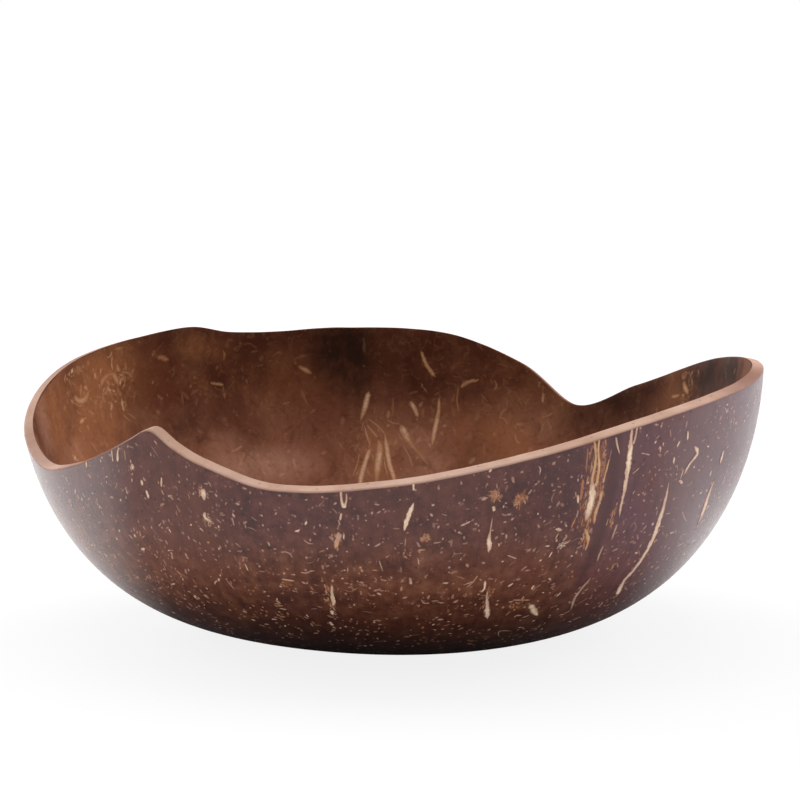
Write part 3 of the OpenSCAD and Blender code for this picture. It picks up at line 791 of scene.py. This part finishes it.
def add_wall_values(wall, azimuth, shares, first_rim, first_inner):
    """Tints of both faces, and the place across the rim and its painted shade."""
    rings, share = len(shares), np.concatenate(shares)
    turns = np.tile(azimuth, rings)
    add_tints(wall, turns, share, np.arange(len(share)) >= first_inner * AZ_STEPS)
    across = (np.arange(rings) - first_rim + 1) / (first_inner - first_rim + 1)
    add_values(wall, "across", np.repeat(np.clip(across, 0, 1), AZ_STEPS))
    # Painted shade on some stretches of the rim
    shades = [strength * smooth_fall(np.abs(turned(turns, at)) / reach / PATCH_REACH)
              for at, reach, strength in RIM_PAINTED_SHADES]
    add_values(wall, "shade", np.max(shades, axis=0))


def strips(inside, azimuth, share, half, looks, lift, tops=3, open_top=False):
    """Closed strips along many paths at once, that lie in one face of the wall.

    azimuth, share and half (half width in mm) are arrays of strips by stations, and looks
    holds a seed, a tone and a cover for each strip or station. lift says how far a strip's
    crown stands over its edges, and how far these stand out of the face; a keel lies under
    it. It fades towards its sides and ends, but not at the first end of an open top."""
    n, m = azimuth.shape
    per_degree, per_share = face_scale(inside, azimuth, share)
    du = np.gradient(azimuth, axis=1) * per_degree
    dv = np.gradient(share, axis=1) * per_share
    length = np.maximum(np.hypot(du, dv), 1e-6)
    side_u, side_v = -dv / length, du / length
    gone = np.cumsum(length, axis=1)
    k = tops + 1
    seed, tone, cover = (np.broadcast_to(look, (n, m)) for look in looks)
    to_end = gone[:, -1:] - gone
    if not open_top:
        to_end = np.minimum(to_end, gone - gone[:, :1])
    end_fade = np.clip(to_end / np.maximum(half.max(axis=1, keepdims=True), 0.05), 0, 1)
    at, high, lie, edge = [], [], [], []
    for i in range(k):
        u = 0.0 if i == tops else -1 + 2 * i / (tops - 1)
        at.append(azimuth + side_u * half * u / per_degree)
        high.append(np.minimum(share + side_v * half * u / per_share, RIM_STOP))
        lie.append(np.stack((gone, half * u, seed), -1))
        edge.append(end_fade * (0.0 if i == tops else 1 - abs(u)))
    crown, edge_lift = lift
    full = np.minimum(1, half / FULL_HALF)
    lift = [edge_lift + crown * (1 - (1 - e) ** 2) * full for e in edge]
    lift[tops] = -KEEL * full
    at, high, edge, lift = (np.stack(rows, 2) for rows in (at, high, edge, lift))
    base = (np.arange(n)[:, None, None] * m + np.arange(m - 1)[None, :, None]) * k
    i = np.arange(k)[None, None, :]
    after = (i + 1) % k
    quads = np.stack((base + i, base + i + k, base + after + k, base + after), -1).reshape(-1, 4)
    heads = (np.arange(n) * m * k)[:, None] + np.arange(k)[None, :]
    tails = heads[:, ::-1] + (m - 1) * k
    if inside:
        quads, heads, tails = quads[:, ::-1], heads[:, ::-1], tails[:, ::-1]
    return {
        "points": face_point(inside, at, high, lift).reshape(-1, 3),
        "faces": quads.tolist() + heads.tolist() + tails.tolist(),
        "azimuth": at.ravel(), "share": high.ravel(), "edge": edge.ravel(),
        "lie": np.stack(lie, 2).reshape(-1, 3),
        "tone": np.repeat(tone.ravel(), k), "cover": np.repeat(cover.ravel(), k),
    }


def strip_object(name, inside, parts, material, node=None):
    """One piece from several results of strips()."""
    faces, start = [], 0
    for part in parts:
        faces += [[v + start for v in face] for face in part.pop("faces")]
        start += len(part["points"])
    joined = {key: np.concatenate([part[key] for part in parts]) for key in parts[0]}
    piece = new_object(name, joined["points"], faces, [material])
    piece.data.set_sharp_from_angle(angle=math.radians(STRIP_CREASE))
    add_values(piece, "lie", joined["lie"], "FLOAT_VECTOR")
    for key in ("edge", "tone", "cover"):
        add_values(piece, key, joined[key])
    add_tints(piece, joined["azimuth"], joined["share"], np.full(start, inside))
    if node:
        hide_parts(node)


def spline(places, steps):
    """A smooth run of values through places, with steps between each two of them."""
    p = np.array(places, float)
    p = np.concatenate((2 * p[:1] - p[1:2], p, 2 * p[-1:] - p[-2:-1]))
    out = []
    for i in range(1, len(p) - 2):
        for s in range(steps):
            t = s / steps
            out.append(0.5 * (2 * p[i] + (p[i + 1] - p[i - 1]) * t
                              + (2 * p[i - 1] - 5 * p[i] + 4 * p[i + 1] - p[i + 2]) * t * t
                              + (3 * p[i] - p[i - 1] - 3 * p[i + 1] + p[i + 2]) * t ** 3))
    return np.array(out + [p[-2]])


def tosses(chance, count):
    """Random numbers from -1 to 1."""
    return np.array([chance.uniform(-1, 1) for _ in range(count)])


def strand_parts(runs, look, inside, chance, style):
    """Strips for the runs of one strand, a little ragged along their sides."""
    full_w, ragged, lift, blunt = style
    looks = look if isinstance(look, list) else [look] * len(runs)
    parts = []
    for places, (thin_tone, full_tone, cover) in zip(runs, looks):
        path = spline(places, 7)
        m = len(path)
        s = np.linspace(0, 1, m)
        open_top = places[0][1] >= OPEN_TOP
        taper = np.minimum(1, (1 - s if open_top else np.minimum(s, 1 - s)) * blunt + 0.12)
        half = full_w / 2 * path[:, 2] * taper * (1 + ragged * tosses(chance, m))
        per_degree, _ = face_scale(inside, path[:, 0], path[:, 1])
        azimuth = path[:, 0] + ragged * 0.35 * tosses(chance, m) * half / per_degree
        fullness = (path[None, :, 2] / path[:, 2].max()) ** 4
        tone = np.minimum(thin_tone + (full_tone - thin_tone) * fullness, 1)
        parts.append(strips(
            inside, azimuth[None], path[None, :, 1], half[None],
            (chance.uniform(0, SEEDS), tone, cover), lift, 7, open_top))
    return parts


def mark_parts(inside, groups, chance):
    """Strips for the single marks that are placed by pixels."""
    marks = [(tone, cover, width, np.reshape(run, (-1, 2)))
             for tone, cover, width, runs in groups for run in runs]
    azimuth, share = seen_at(inside, np.concatenate([mark[3] for mark in marks]))
    parts, start = [], 0
    for tone, cover, width, run in marks:
        stop = start + len(run)
        path = spline(np.stack((azimuth[start:stop], share[start:stop]), -1), 4)
        start = stop
        m = len(path)
        wide = np.sin(math.pi * np.linspace(END_CUT, 1 - END_CUT, m)) ** 0.5
        half = width / 2 * wide * (1 + MARK_RAGGED * tosses(chance, m))
        looks = (chance.uniform(0, SEEDS), tone, cover)
        parts.append(strips(
            inside, path[None, :, 0], path[None, :, 1], half[None], looks, MARK_LIFT))
    return parts


def fleck_parts(inside, chance, rows, stations):
    """Strips for many short fibres, from rows of azimuth, share, length, half width,
    direction in degrees from level, curl in degrees, tone and cover."""
    azimuth, share, length, half, turn, curl, tone, cover = np.array(rows, float).T[..., None]
    per_degree, per_share = face_scale(inside, azimuth, share)
    s = np.linspace(0, 1, stations)
    heading = np.radians(turn + curl * (s[None] - 0.5))
    step = length / (stations - 1)
    u = np.cumsum(np.cos(heading) * step, axis=1)
    v = np.cumsum(np.sin(heading) * step, axis=1)
    u -= u.mean(axis=1, keepdims=True)
    v -= v.mean(axis=1, keepdims=True)
    wide = np.sin(np.pi * np.clip(s, END_CUT, 1 - END_CUT))[None] ** 0.6
    jitter = 1 + FLECK_RAGGED * tosses(chance, len(rows) * stations).reshape(len(rows), stations)
    looks = (tosses(chance, len(rows))[:, None] * SEEDS, tone, cover)
    return strips(
        inside, azimuth + u / per_degree, np.clip(share + v / per_share, 0.01, 0.99),
        half * wide * jitter, looks, FLECK_LIFT)


def outer_flecks(chance):
    """Rows for scattered flecks, in loose clusters: mostly dots, some chips, a few hairs.

    They are denser, warmer and more level lower down, and the band has none."""
    rows = []
    while len(rows) < OUTER_FLECKS:
        azimuth = chance.uniform(0, 360)
        z = chance.uniform(0.5, RIM_H)
        rim = float(rim_height(azimuth))
        if z > rim * TOP_SHARE:
            continue
        share = z / rim
        cluster = math.sin(0.21 * azimuth + 0.3 * z) * math.sin(0.13 * azimuth - 0.23 * z + 1)
        if chance.random() > (0.5 + 0.5 * (1 - share)) * (0.65 + 0.35 * cluster):
            continue
        if float(band_values(azimuth, share)) > 0.2:
            continue
        kind = chance.random()
        _, lengths, halves, bend, (thin, full), power = next(
            row for row in FLECK_KINDS if kind < row[0])
        length, half = chance.uniform(*lengths), chance.uniform(*halves)
        curl = chance.gauss(0, bend) if bend else 0
        cover = thin + (full - thin) * chance.random() ** power
        level = chance.random() < 0.75 - 0.35 * share
        warm = min(1, max(0, (34 - z) / 16))
        tone = 0.46 + 0.24 * chance.random() - 0.16 * warm * chance.random()
        if chance.random() < BRIGHT_CHANCE:
            tone, cover = chance.uniform(0.7, 0.95), 0.95
        cover *= min(1, 0.2 + z / 11)
        turn = chance.gauss(0, 32) if level else chance.gauss(90, 28)
        rows.append((azimuth, share, length, half, turn, curl, tone, cover))
    return rows


def burst_flecks(chance):
    """Rows for the ragged bursts: short fibres that point away from a middle."""
    rows = []
    for azimuth, share, (_, radius, tone) in zip(*seen_at(False, [b[0] for b in BURSTS]), BURSTS):
        per_degree, per_share = face_scale(False, azimuth, share)
        for _ in range(BURST_FIBRES):
            turn, reach = chance.uniform(0, 360), radius * chance.uniform(0.1, 0.75)
            rows.append((
                azimuth + math.cos(math.radians(turn)) * reach / per_degree,
                share + math.sin(math.radians(turn)) * reach / per_share,
                radius * chance.uniform(0.5, 1.0), chance.uniform(0.14, 0.26),
                turn + chance.gauss(0, 55), chance.gauss(0, 40),
                min(1, max(0, tone + chance.uniform(-0.2, 0.3))), chance.uniform(0.5, 0.9)))
    return rows


def stain_flecks(chance):
    """Rows for the fine rust and amber fibres in the stains round the strands."""
    rows = []
    for azimuth, share, half_w, half_h, _ in STAINS:
        per_degree, per_share = face_scale(False, azimuth, share)
        for _ in range(int(6 + 4 * half_w * half_h)):
            u, v = chance.gauss(0, 0.42) * half_w, chance.gauss(0, 0.5) * half_h
            rows.append((
                azimuth + u / per_degree, min(share + v / per_share, TOP_SHARE),
                chance.uniform(0.5, 0.5 + 0.45 * half_h), chance.uniform(0.15, 0.34),
                chance.gauss(92, 12), chance.gauss(0, 12), chance.choice(STAIN_TONES),
                chance.uniform(0.4, 0.85)))
    return rows


def inner_flecks(chance):
    """Rows for the faint soft fibres of the inner face."""
    rows = []
    for _ in range(INNER_FLECKS):
        size = chance.random() ** 2
        rows.append((
            chance.uniform(0, 360), 0.98 * math.sqrt(chance.uniform(0.02, 1)), 1.2 + 3.0 * size,
            0.35 + 0.35 * chance.random(),
            chance.choice((chance.gauss(90, 30), chance.gauss(0, 40))),
            chance.gauss(0, 25), 0.35 + 0.3 * chance.random(), 0.08 + 0.25 * chance.random()))
    return rows


def tuft_flecks(chance):
    """Rows for the curled fibres of the inner face's tufts."""
    rows = []
    places = zip(*seen_at(True, [tuft[0] for tuft in INNER_TUFTS]), INNER_TUFTS)
    for azimuth, share, (_, half_w, half_h, count, cover) in places:
        per_degree, per_share = face_scale(True, azimuth, share)
        for _ in range(count):
            u, v = chance.gauss(0, 0.5) * half_w, chance.gauss(0, 0.5) * half_h
            rows.append((
                azimuth + u / per_degree, min(share + v / per_share, TOP_SHARE),
                chance.uniform(1.0, 3.4), chance.uniform(0.35, 0.8), chance.gauss(90, 45),
                chance.gauss(0, 80), chance.uniform(0.45, 0.9), cover * chance.uniform(0.3, 1.0)))
    return rows


class Nodes:
    """Short ways to add shader nodes to one material or world."""

    def __init__(self, block, output="ShaderNodeOutputMaterial"):
        block.use_nodes = True
        self.block, self.tree = block, block.node_tree
        self.tree.nodes.clear()
        self.surface = self.add(output).inputs["Surface"]

    def add(self, kind, inputs=None, **settings):
        """A new node with these settings, and with its inputs set or linked."""
        node = self.tree.nodes.new(kind)
        for key, value in settings.items():
            setattr(node, key, value)
        for key, value in (inputs or {}).items():
            self.put(value, node.inputs[key])
        return node

    def put(self, value, socket):
        """Links value if it is a socket, or else sets it."""
        if isinstance(value, bpy.types.NodeSocket):
            self.tree.links.new(value, socket)
        else:
            socket.default_value = value

    @cached_property
    def at(self):
        """The place of the shaded point, in metres."""
        return self.add("ShaderNodeTexCoord").outputs["Object"]

    def value(self, name, output="Fac"):
        """What add_values wrote for the piece's points."""
        return self.add("ShaderNodeAttribute", attribute_name=name).outputs[output]

    def part(self, vector, axis):
        """One of a vector's three parts."""
        return self.add("ShaderNodeSeparateXYZ", {0: vector}).outputs[axis]

    def vector_math(self, operation, first, second=(0, 0, 0)):
        """A vector from one or two others."""
        node = self.add("ShaderNodeVectorMath", {0: first, 1: second}, operation=operation)
        return node.outputs["Vector"]

    def round_wall(self):
        """Coordinates that run round the bowl, and up it by 1 for each 100 mm."""
        flat = self.vector_math("NORMALIZE", self.vector_math("MULTIPLY", self.at, (1, 1, 0)))
        return self.vector_math("ADD", flat, self.vector_math("MULTIPLY", self.at, (0, 0, 10)))

    def noise(self, vector, scale, detail, rough, warp=0.0):
        """Soft noise, mostly from 0.3 to 0.7."""
        return self.add("ShaderNodeTexNoise", {
            "Vector": vector, "Scale": scale, "Detail": detail, "Roughness": rough,
            "Distortion": warp}).outputs["Fac"]

    def grain(self, name):
        """The noise of that name in GRAINS."""
        return self.noise(self.at, *GRAINS[name])

    def stretched(self, vector, name):
        """The noise of that name in STRETCHED, on coordinates that it scales."""
        scales, detail, rough = STRETCHED[name]
        return self.noise(self.vector_math("MULTIPLY", vector, scales), 1.0, detail, rough)

    def dots(self, name):
        """The small round dots of that name in DOTS, 0 to 1."""
        scale, edge, core, axis, none, full = DOTS[name]
        cells = self.add("ShaderNodeTexVoronoi", {"Vector": self.at, "Scale": scale}).outputs
        chosen = self.span(self.part(cells["Color"], axis), none, full)
        return self.times(self.span(cells["Distance"], edge, core), chosen)

    def span(self, value, low, high, out_low=0.0, out_high=1.0, smooth=False):
        """Maps a value from one range to another, and keeps it inside."""
        return self.add("ShaderNodeMapRange", {
            "Value": value, "From Min": low, "From Max": high, "To Min": out_low,
            "To Max": out_high}, interpolation_type="SMOOTHSTEP" if smooth else "LINEAR",
            clamp=True).outputs["Result"]

    def math(self, operation, first, second=0.0):
        """A value from one or two others."""
        return self.add("ShaderNodeMath", {0: first, 1: second}, operation=operation).outputs[0]

    def times(self, *factors):
        """The product of some values."""
        return reduce(lambda first, second: self.math("MULTIPLY", first, second), factors)

    def mix(self, factor, first, second):
        """Blends two colours; a plain triple is a colour too."""
        first, second = ((*c, 1) if isinstance(c, tuple) else c for c in (first, second))
        node = self.add("ShaderNodeMix", data_type="RGBA")
        for value, key in ((factor, "Factor"), (first, 6), (second, 7)):
            self.put(value, node.inputs[key])
        return node.outputs[2]

    def layers(self, colour, rows):
        """Lays tints over a colour, each by a value: it starts at the first number, and has
        its full cover at the second. A sixth entry smooths the way between them."""
        for value, start, full, cover, tint, *smooth in rows:
            spread = self.span(value, start, full, 0.0, cover, bool(smooth))
            colour = self.mix(spread, colour, tint)
        return colour

    def ramp(self, value, stops):
        """A colour by value, from pairs of a value and the colour there."""
        node = self.add("ShaderNodeValToRGB", {"Fac": value})
        items = node.color_ramp.elements
        while len(items) < len(stops):
            items.new(0.5)
        for item, (at, colour) in zip(items, stops):
            item.position = at
            item.color = (*colour, 1)
        return node.outputs["Color"]

    def mottled(self, name, *sets):
        """One noise of GRAINS, coloured by each of some sets of dark, middle and light."""
        value = self.grain(name)
        return [self.ramp(value, list(zip(MOTTLE_AT, colours))) for colours in sets]

    def bump(self, height, strength, distance):
        """The normal of a surface with this relief."""
        return self.add("ShaderNodeBump", {
            "Height": height, "Strength": strength, "Distance": distance}).outputs["Normal"]

    def finish(self, **inputs):
        """Closes the material with a Principled shader of these inputs."""
        named = {key.replace("_", " "): value for key, value in inputs.items()}
        self.put(self.add("ShaderNodeBsdfPrincipled", named).outputs[0], self.surface)
        return self.block


def new_material(name):
    """The nodes of a new material."""
    return Nodes(bpy.data.materials.new(name))


def outer_colour(n):
    """The outer skin's colour: mottled purple-brown, dusted with pores, stained at fibres, with a
    painted sheen on its right side and painted shade towards the flat.
    """
    height, band, broad = n.part(n.at, "Z"), n.value("band"), n.grain("broad")
    high, low = n.mottled("mottle", SKIN_HIGH, SKIN_LOW)
    colour = n.layers(high, [
        (height, 0.034, 0.020, 1.0, low, "smooth"),
        # Painted sheen: a lighter mauve over the right side of the skin
        (n.part(n.at, "X"), 0.024, 0.050, 0.8, MAUVE_PAINTED_SHEEN, "smooth"),
        (broad, 0.5, 0.72, 0.6, RUDDY), (broad, 0.46, 0.3, 0.5, DUSKY),
        (n.stretched(n.round_wall(), "streaks"), 0.5, 0.72, 0.35, STREAK),
        (band, 0.1, 0.9, 0.7, BAND_TINT)])
    open_skin = n.span(band, 0.1, 0.4, 1.0, 0.0)
    for name, tint, cover in DUST:
        colour = n.mix(n.times(n.dots(name), open_skin, cover), colour, tint)
    colour = n.mix(n.times(n.dots("pits"), 0.6), colour, PIT)
    ragged = n.span(n.stretched(n.round_wall(), "ragged"), 0.3, 0.7, -0.5, 0.5)
    stain, rust = n.math("ADD", n.value("stain"), ragged), n.ramp(n.grain("rust"), STAIN_COLOURS)
    return n.layers(colour, [
        # The rust stains, then painted shade: the skin darkens to near black towards the flat
        (stain, 0.3, 0.8, 0.8, rust), (height, 0.023, 0.001, 0.95, FOOT_PAINTED_SHADE, "smooth")])


def polish(n):
    """The oil polish of the outer skin, worn off towards the middle of the base."""
    x, z = n.part(n.at, "X"), n.part(n.at, "Z")
    middle = n.span(z, 0.010, 0.030, 0.0, MIDDLE_COAT, True)
    end = n.span(n.math("ABSOLUTE", x), 0.040, 0.058, 0.0, END_COAT, True)
    upper_right = n.span(n.math("ADD", x, z), 0.078, 0.105, 1.0, UPPER_RIGHT_COAT, True)
    return {
        "Roughness": n.span(n.grain("sheen"), 0.3, 0.7, 0.42, 0.55),
        "Specular_IOR_Level": OUTER_SPECULAR,
        "Coat_Weight": n.math("MAXIMUM", middle, n.times(end, upper_right)),
        "Coat_Roughness": COAT_ROUGHNESS, "Coat_IOR": OUTER_COAT_IOR,
        "Sheen_Weight": OUTER_SHEEN, "Sheen_Roughness": 0.5, "Sheen_Tint": SHEEN_TINT,
    }


def outer_finish():
    """Oiled and polished outer skin."""
    n = new_material("shell_outer")
    relief = n.bump(n.grain("relief"), 0.14, 0.0002)
    return n.finish(Base_Color=outer_colour(n), Normal=relief, **polish(n))


def rim_finish():
    """Sawn and sanded edge: pinkish tan with fine dark pores and darker borders, and painted shade
    on some stretches.
    """
    n = new_material("shell_rim")
    across, clouds, stretches = n.value("across"), n.grain("rim clouds"), n.grain("stretches")
    colour = n.layers(n.ramp(clouds, RIM_COLOURS), [
        (stretches, 0.45, 0.65, 0.6, RIM_PINK), (stretches, 0.45, 0.3, 0.5, RIM_TAN),
        (n.grain("pores"), 0.58, 0.78, 0.35, RIM_PORE)])
    colour = n.mix(n.times(n.dots("rim"), 0.55), colour, RIM_DOT)
    # Painted shade on some stretches of the rim
    colour = n.mix(n.value("shade"), colour, RIM_PAINTED_SHADE)
    colour = n.layers(colour, [
        (across, 0.13, 0.03, 0.65, RIM_OUTER_EDGE), (across, 0.74, 0.9, 0.7, RIM_INNER_EDGE)])
    return n.finish(
        Base_Color=colour, Roughness=n.span(clouds, 0.3, 0.7, 0.55, 0.7),
        Specular_IOR_Level=0.05, Normal=n.bump(n.grain("saw marks"), 0.25, 0.0002))


def inner_colour(n):
    """The warm brown of the inner face, mottled and lighter low down as painted light, with its
    broad patches, mostly painted light, sheen and shade.
    """
    height, patches = n.part(n.at, "Z"), n.grain("patches")
    # Painted light: the face is made lighter low in the bowl, where more light falls
    high, low = n.mottled("clouds", INSIDE_HIGH, INSIDE_LOW_PAINTED_LIGHT)
    colour = n.layers(high, [
        (height, 0.044, 0.022, 1.0, low, "smooth"),
        (height, 0.020, 0.008, 0.5, INSIDE_FOOT, "smooth")])
    colour = n.layers(colour, [
        (n.grain("curls"), 0.54, 0.74, 0.4, n.mix(0.5, colour, CURL)),
        (patches, 0.54, 0.76, 0.4, PATCH_LIGHT), (patches, 0.44, 0.3, 0.4, PATCH_DARK)])
    soft = n.span(n.stretched(n.round_wall(), "wisps"), 0.35, 0.65, 0.75, 1.25)
    # The patches lay painted light, painted sheen and painted shade, and some warm colour of the
    # face's own
    return n.layers(colour, [
        (n.times(n.value(kind), soft), 0.1, 0.9, cover, tint)
        for kind, tint, cover in PATCH_LOOKS
    ] + [(n.grain("fine grain"), 0.52, 0.8, 0.3, INSIDE_GRAIN)])


def oil(n):
    """The thin oil of the inner face."""
    return {
        "Roughness": n.span(n.grain("oil"), 0.3, 0.7, 0.5, 0.62), "Specular_IOR_Level": 0.02,
        "Normal": n.bump(n.grain("scraped"), 0.18, 0.0003),
    }


def inner_finish():
    """Oiled inner face."""
    n = new_material("shell_inner")
    return n.finish(Base_Color=inner_colour(n), **oil(n))


def mark_colour(n, skin, tones, full_edge):
    """A mark's own tone, fading into the skin at its sides and where its cover is thin."""
    threads = n.stretched(n.value("lie", "Vector"), "mark threads")
    tone = n.layers(n.ramp(n.value("tone"), tones), [(threads, 0.52, 0.72, 0.35, THREAD_BROWN)])
    side = n.span(n.value("edge"), 0.02, full_edge, 0.0, 1.0, True)
    worn = n.span(n.grain("worn"), 0.3, 0.6, 0.6, 1.0)
    return n.mix(n.times(n.value("cover"), side, worn), skin, tone)


def fleck_finish():
    """Short fibre ends in the outer skin."""
    n = new_material("fleck")
    colour = mark_colour(n, outer_colour(n), OUTER_TONES, FLECK_FULL_EDGE)
    return n.finish(Base_Color=colour, **polish(n))


def vein_finish():
    """Tan veins and faint fibres in the inner face."""
    n = new_material("vein")
    colour = mark_colour(n, inner_colour(n), INNER_TONES, VEIN_FULL_EDGE)
    return n.finish(Base_Color=colour, **oil(n))


def fibre_finish():
    """Pale strand with fine lengthwise threads, cream in its middle and rusty at its sides."""
    n = new_material("fibre")
    threads = n.stretched(n.value("lie", "Vector"), "strand threads")
    side = n.math("ADD", n.value("edge"), n.span(n.grain("rust"), 0.3, 0.7, -0.3, 0.3))
    colour = n.layers(n.ramp(n.value("tone"), OUTER_TONES), [
        (threads, 0.50, 0.34, 0.7, THREAD_DARK), (threads, 0.55, 0.75, 0.45, THREAD_LIGHT),
        (side, 0.65, 0.2, 0.75, STRAND_SIDE)])
    cover = n.times(n.span(side, 0.1, 0.45, 0.0, 1.0, True), n.value("cover"))
    return n.finish(
        Base_Color=n.mix(cover, outer_colour(n), colour), Normal=n.bump(threads, 0.3, 0.0002),
        Roughness=n.span(threads, 0.3, 0.7, 0.55, 0.42), Specular_IOR_Level=0.3,
        Coat_Weight=0.35, Coat_Roughness=COAT_ROUGHNESS, Coat_IOR=1.5)


def base_finish():
    """The sanded flat underneath: bare mid-brown wood of the nut, finely scratched."""
    n = new_material("shell_base")
    scratches = n.stretched(n.at, "scratches")
    colour = n.layers(n.ramp(n.grain("base clouds"), BASE_COLOURS), [
        (scratches, 0.5, 0.75, 0.4, SCRATCH)])
    return n.finish(
        Base_Color=colour, Roughness=n.span(scratches, 0.3, 0.7, 0.6, 0.75),
        Specular_IOR_Level=0.3, Normal=n.bump(scratches, 0.2, 0.0002))


def build_floor():
    """A plain pale floor that keeps the bowl's soft shadow, and is white further off."""
    mesh = bpy.data.meshes.new("floor")
    ways = ((-1, -1), (1, -1), (1, 1), (-1, 1))
    mesh.from_pydata([(x * FLOOR_HALF, y * FLOOR_HALF, 0) for x, y in ways], [], [(0, 1, 2, 3)])
    floor = bpy.data.objects.new("floor", mesh)
    bpy.context.scene.collection.objects.link(floor)
    n = new_material("floor")
    ray = n.add("ShaderNodeLightPath").outputs
    mirrored = n.math("MAXIMUM", ray["Is Glossy Ray"], ray["Is Transmission Ray"])
    seen = n.math("MAXIMUM", ray["Is Camera Ray"], mirrored)
    away = n.add("ShaderNodeVectorMath", {0: n.at}, operation="LENGTH").outputs["Value"]
    far = n.times(n.span(away, FLOOR_NEAR, FLOOR_FAR, 0.0, 1.0, True), seen)
    near = n.times(ray["Is Camera Ray"], FLOOR_WHITE)
    diffuse = n.add("ShaderNodeBsdfDiffuse", {"Color": (*FLOOR_TINT, 1)}).outputs[0]
    white = n.add("ShaderNodeEmission", {"Strength": 1.0}).outputs[0]
    both = {0: n.math("MAXIMUM", far, near), 1: diffuse, 2: white}
    n.put(n.add("ShaderNodeMixShader", both).outputs[0], n.surface)
    mesh.materials.append(n.block)


def build_world():
    """Even pale light from all round, plain white where the camera sees it."""
    n = Nodes(bpy.data.worlds.new("studio"), "ShaderNodeOutputWorld")
    ray = n.add("ShaderNodeLightPath").outputs["Is Camera Ray"]
    inputs = {"Color": (1, 1, 1, 1), "Strength": n.span(ray, 0.0, 1.0, WORLD_LIGHT, 1.0)}
    n.put(n.add("ShaderNodeBackground", inputs).outputs[0], n.surface)
    bpy.context.scene.world = n.block


def softbox(name, place, width, height, radiance):
    """A square soft light of even brightness that faces the bowl."""
    light = bpy.data.lights.new(name, "AREA")
    light.shape = "RECTANGLE"
    light.size, light.size_y = width, height
    light.energy = radiance * math.pi * width * height
    lamp = bpy.data.objects.new(name, light)
    lamp.location = place
    aim = Vector((0, 0, AIM_Z * MM))
    lamp.rotation_euler = (aim - Vector(place)).to_track_quat("-Z", "Y").to_euler()
    bpy.context.scene.collection.objects.link(lamp)


def build_camera():
    """The photograph's view of the bowl."""
    camera = bpy.data.cameras.new("camera")
    camera.lens, camera.sensor_width, camera.clip_start = LENS, SENSOR, 0.05
    place, right, up, ahead = (Vector(axis.tolist()) for axis in camera_axes())
    turn = Matrix((right, up, -ahead)).transposed().to_4x4()
    holder = bpy.data.objects.new("camera", camera)
    holder.matrix_world = Matrix.Translation(place * MM) @ turn
    bpy.context.scene.collection.objects.link(holder)
    bpy.context.scene.camera = holder


def build_strands(fibre, vein):
    """The long strands and veins, each named node of the solids as one piece."""
    chance = random.Random(STRAND_SEED)
    for name, runs in STRANDS.items():
        look = STRAND_LOOKS.get(name, PLAIN_LOOK)
        parts = strand_parts(runs, look, False, chance, STRAND_STYLE)
        strip_object("fibres_" + name, False, parts, fibre, "strand_" + name)
    for name, runs in VEINS.items():
        parts = strand_parts(runs, VEIN_LOOKS[name], True, chance, VEIN_STYLE)
        strip_object("veins_" + name, True, parts, vein, "vein_" + name)


def build_flecks(fleck, vein):
    """All short fibres of the outer face as one piece, and those of the inner face."""
    chance = random.Random(FLECK_SEED)
    parts = mark_parts(False, OUTER_MARKS, chance)
    parts.append(fleck_parts(False, chance, outer_flecks(chance), OUTER_STATIONS))
    parts.append(fleck_parts(False, chance, stain_flecks(chance) + burst_flecks(chance),
                             OUTER_STATIONS))
    strip_object("flecks_outer", False, parts, fleck)
    parts = mark_parts(True, INNER_MARKS, chance)
    parts.append(fleck_parts(True, chance, inner_flecks(chance) + tuft_flecks(chance),
                             INNER_STATIONS))
    strip_object("flecks_inner", True, parts, vein)


def main():
    """Builds the bowl, and the studio that it is seen in."""
    build_camera()
    build_wall([outer_finish(), rim_finish(), inner_finish(), base_finish()])
    fleck, vein = fleck_finish(), vein_finish()
    build_strands(fibre_finish(), vein)
    build_flecks(fleck, vein)
    build_floor()
    build_world()
    for row in SOFTBOXES:
        softbox(*row)
    bpy.context.scene.view_settings.view_transform = "Standard"


main()
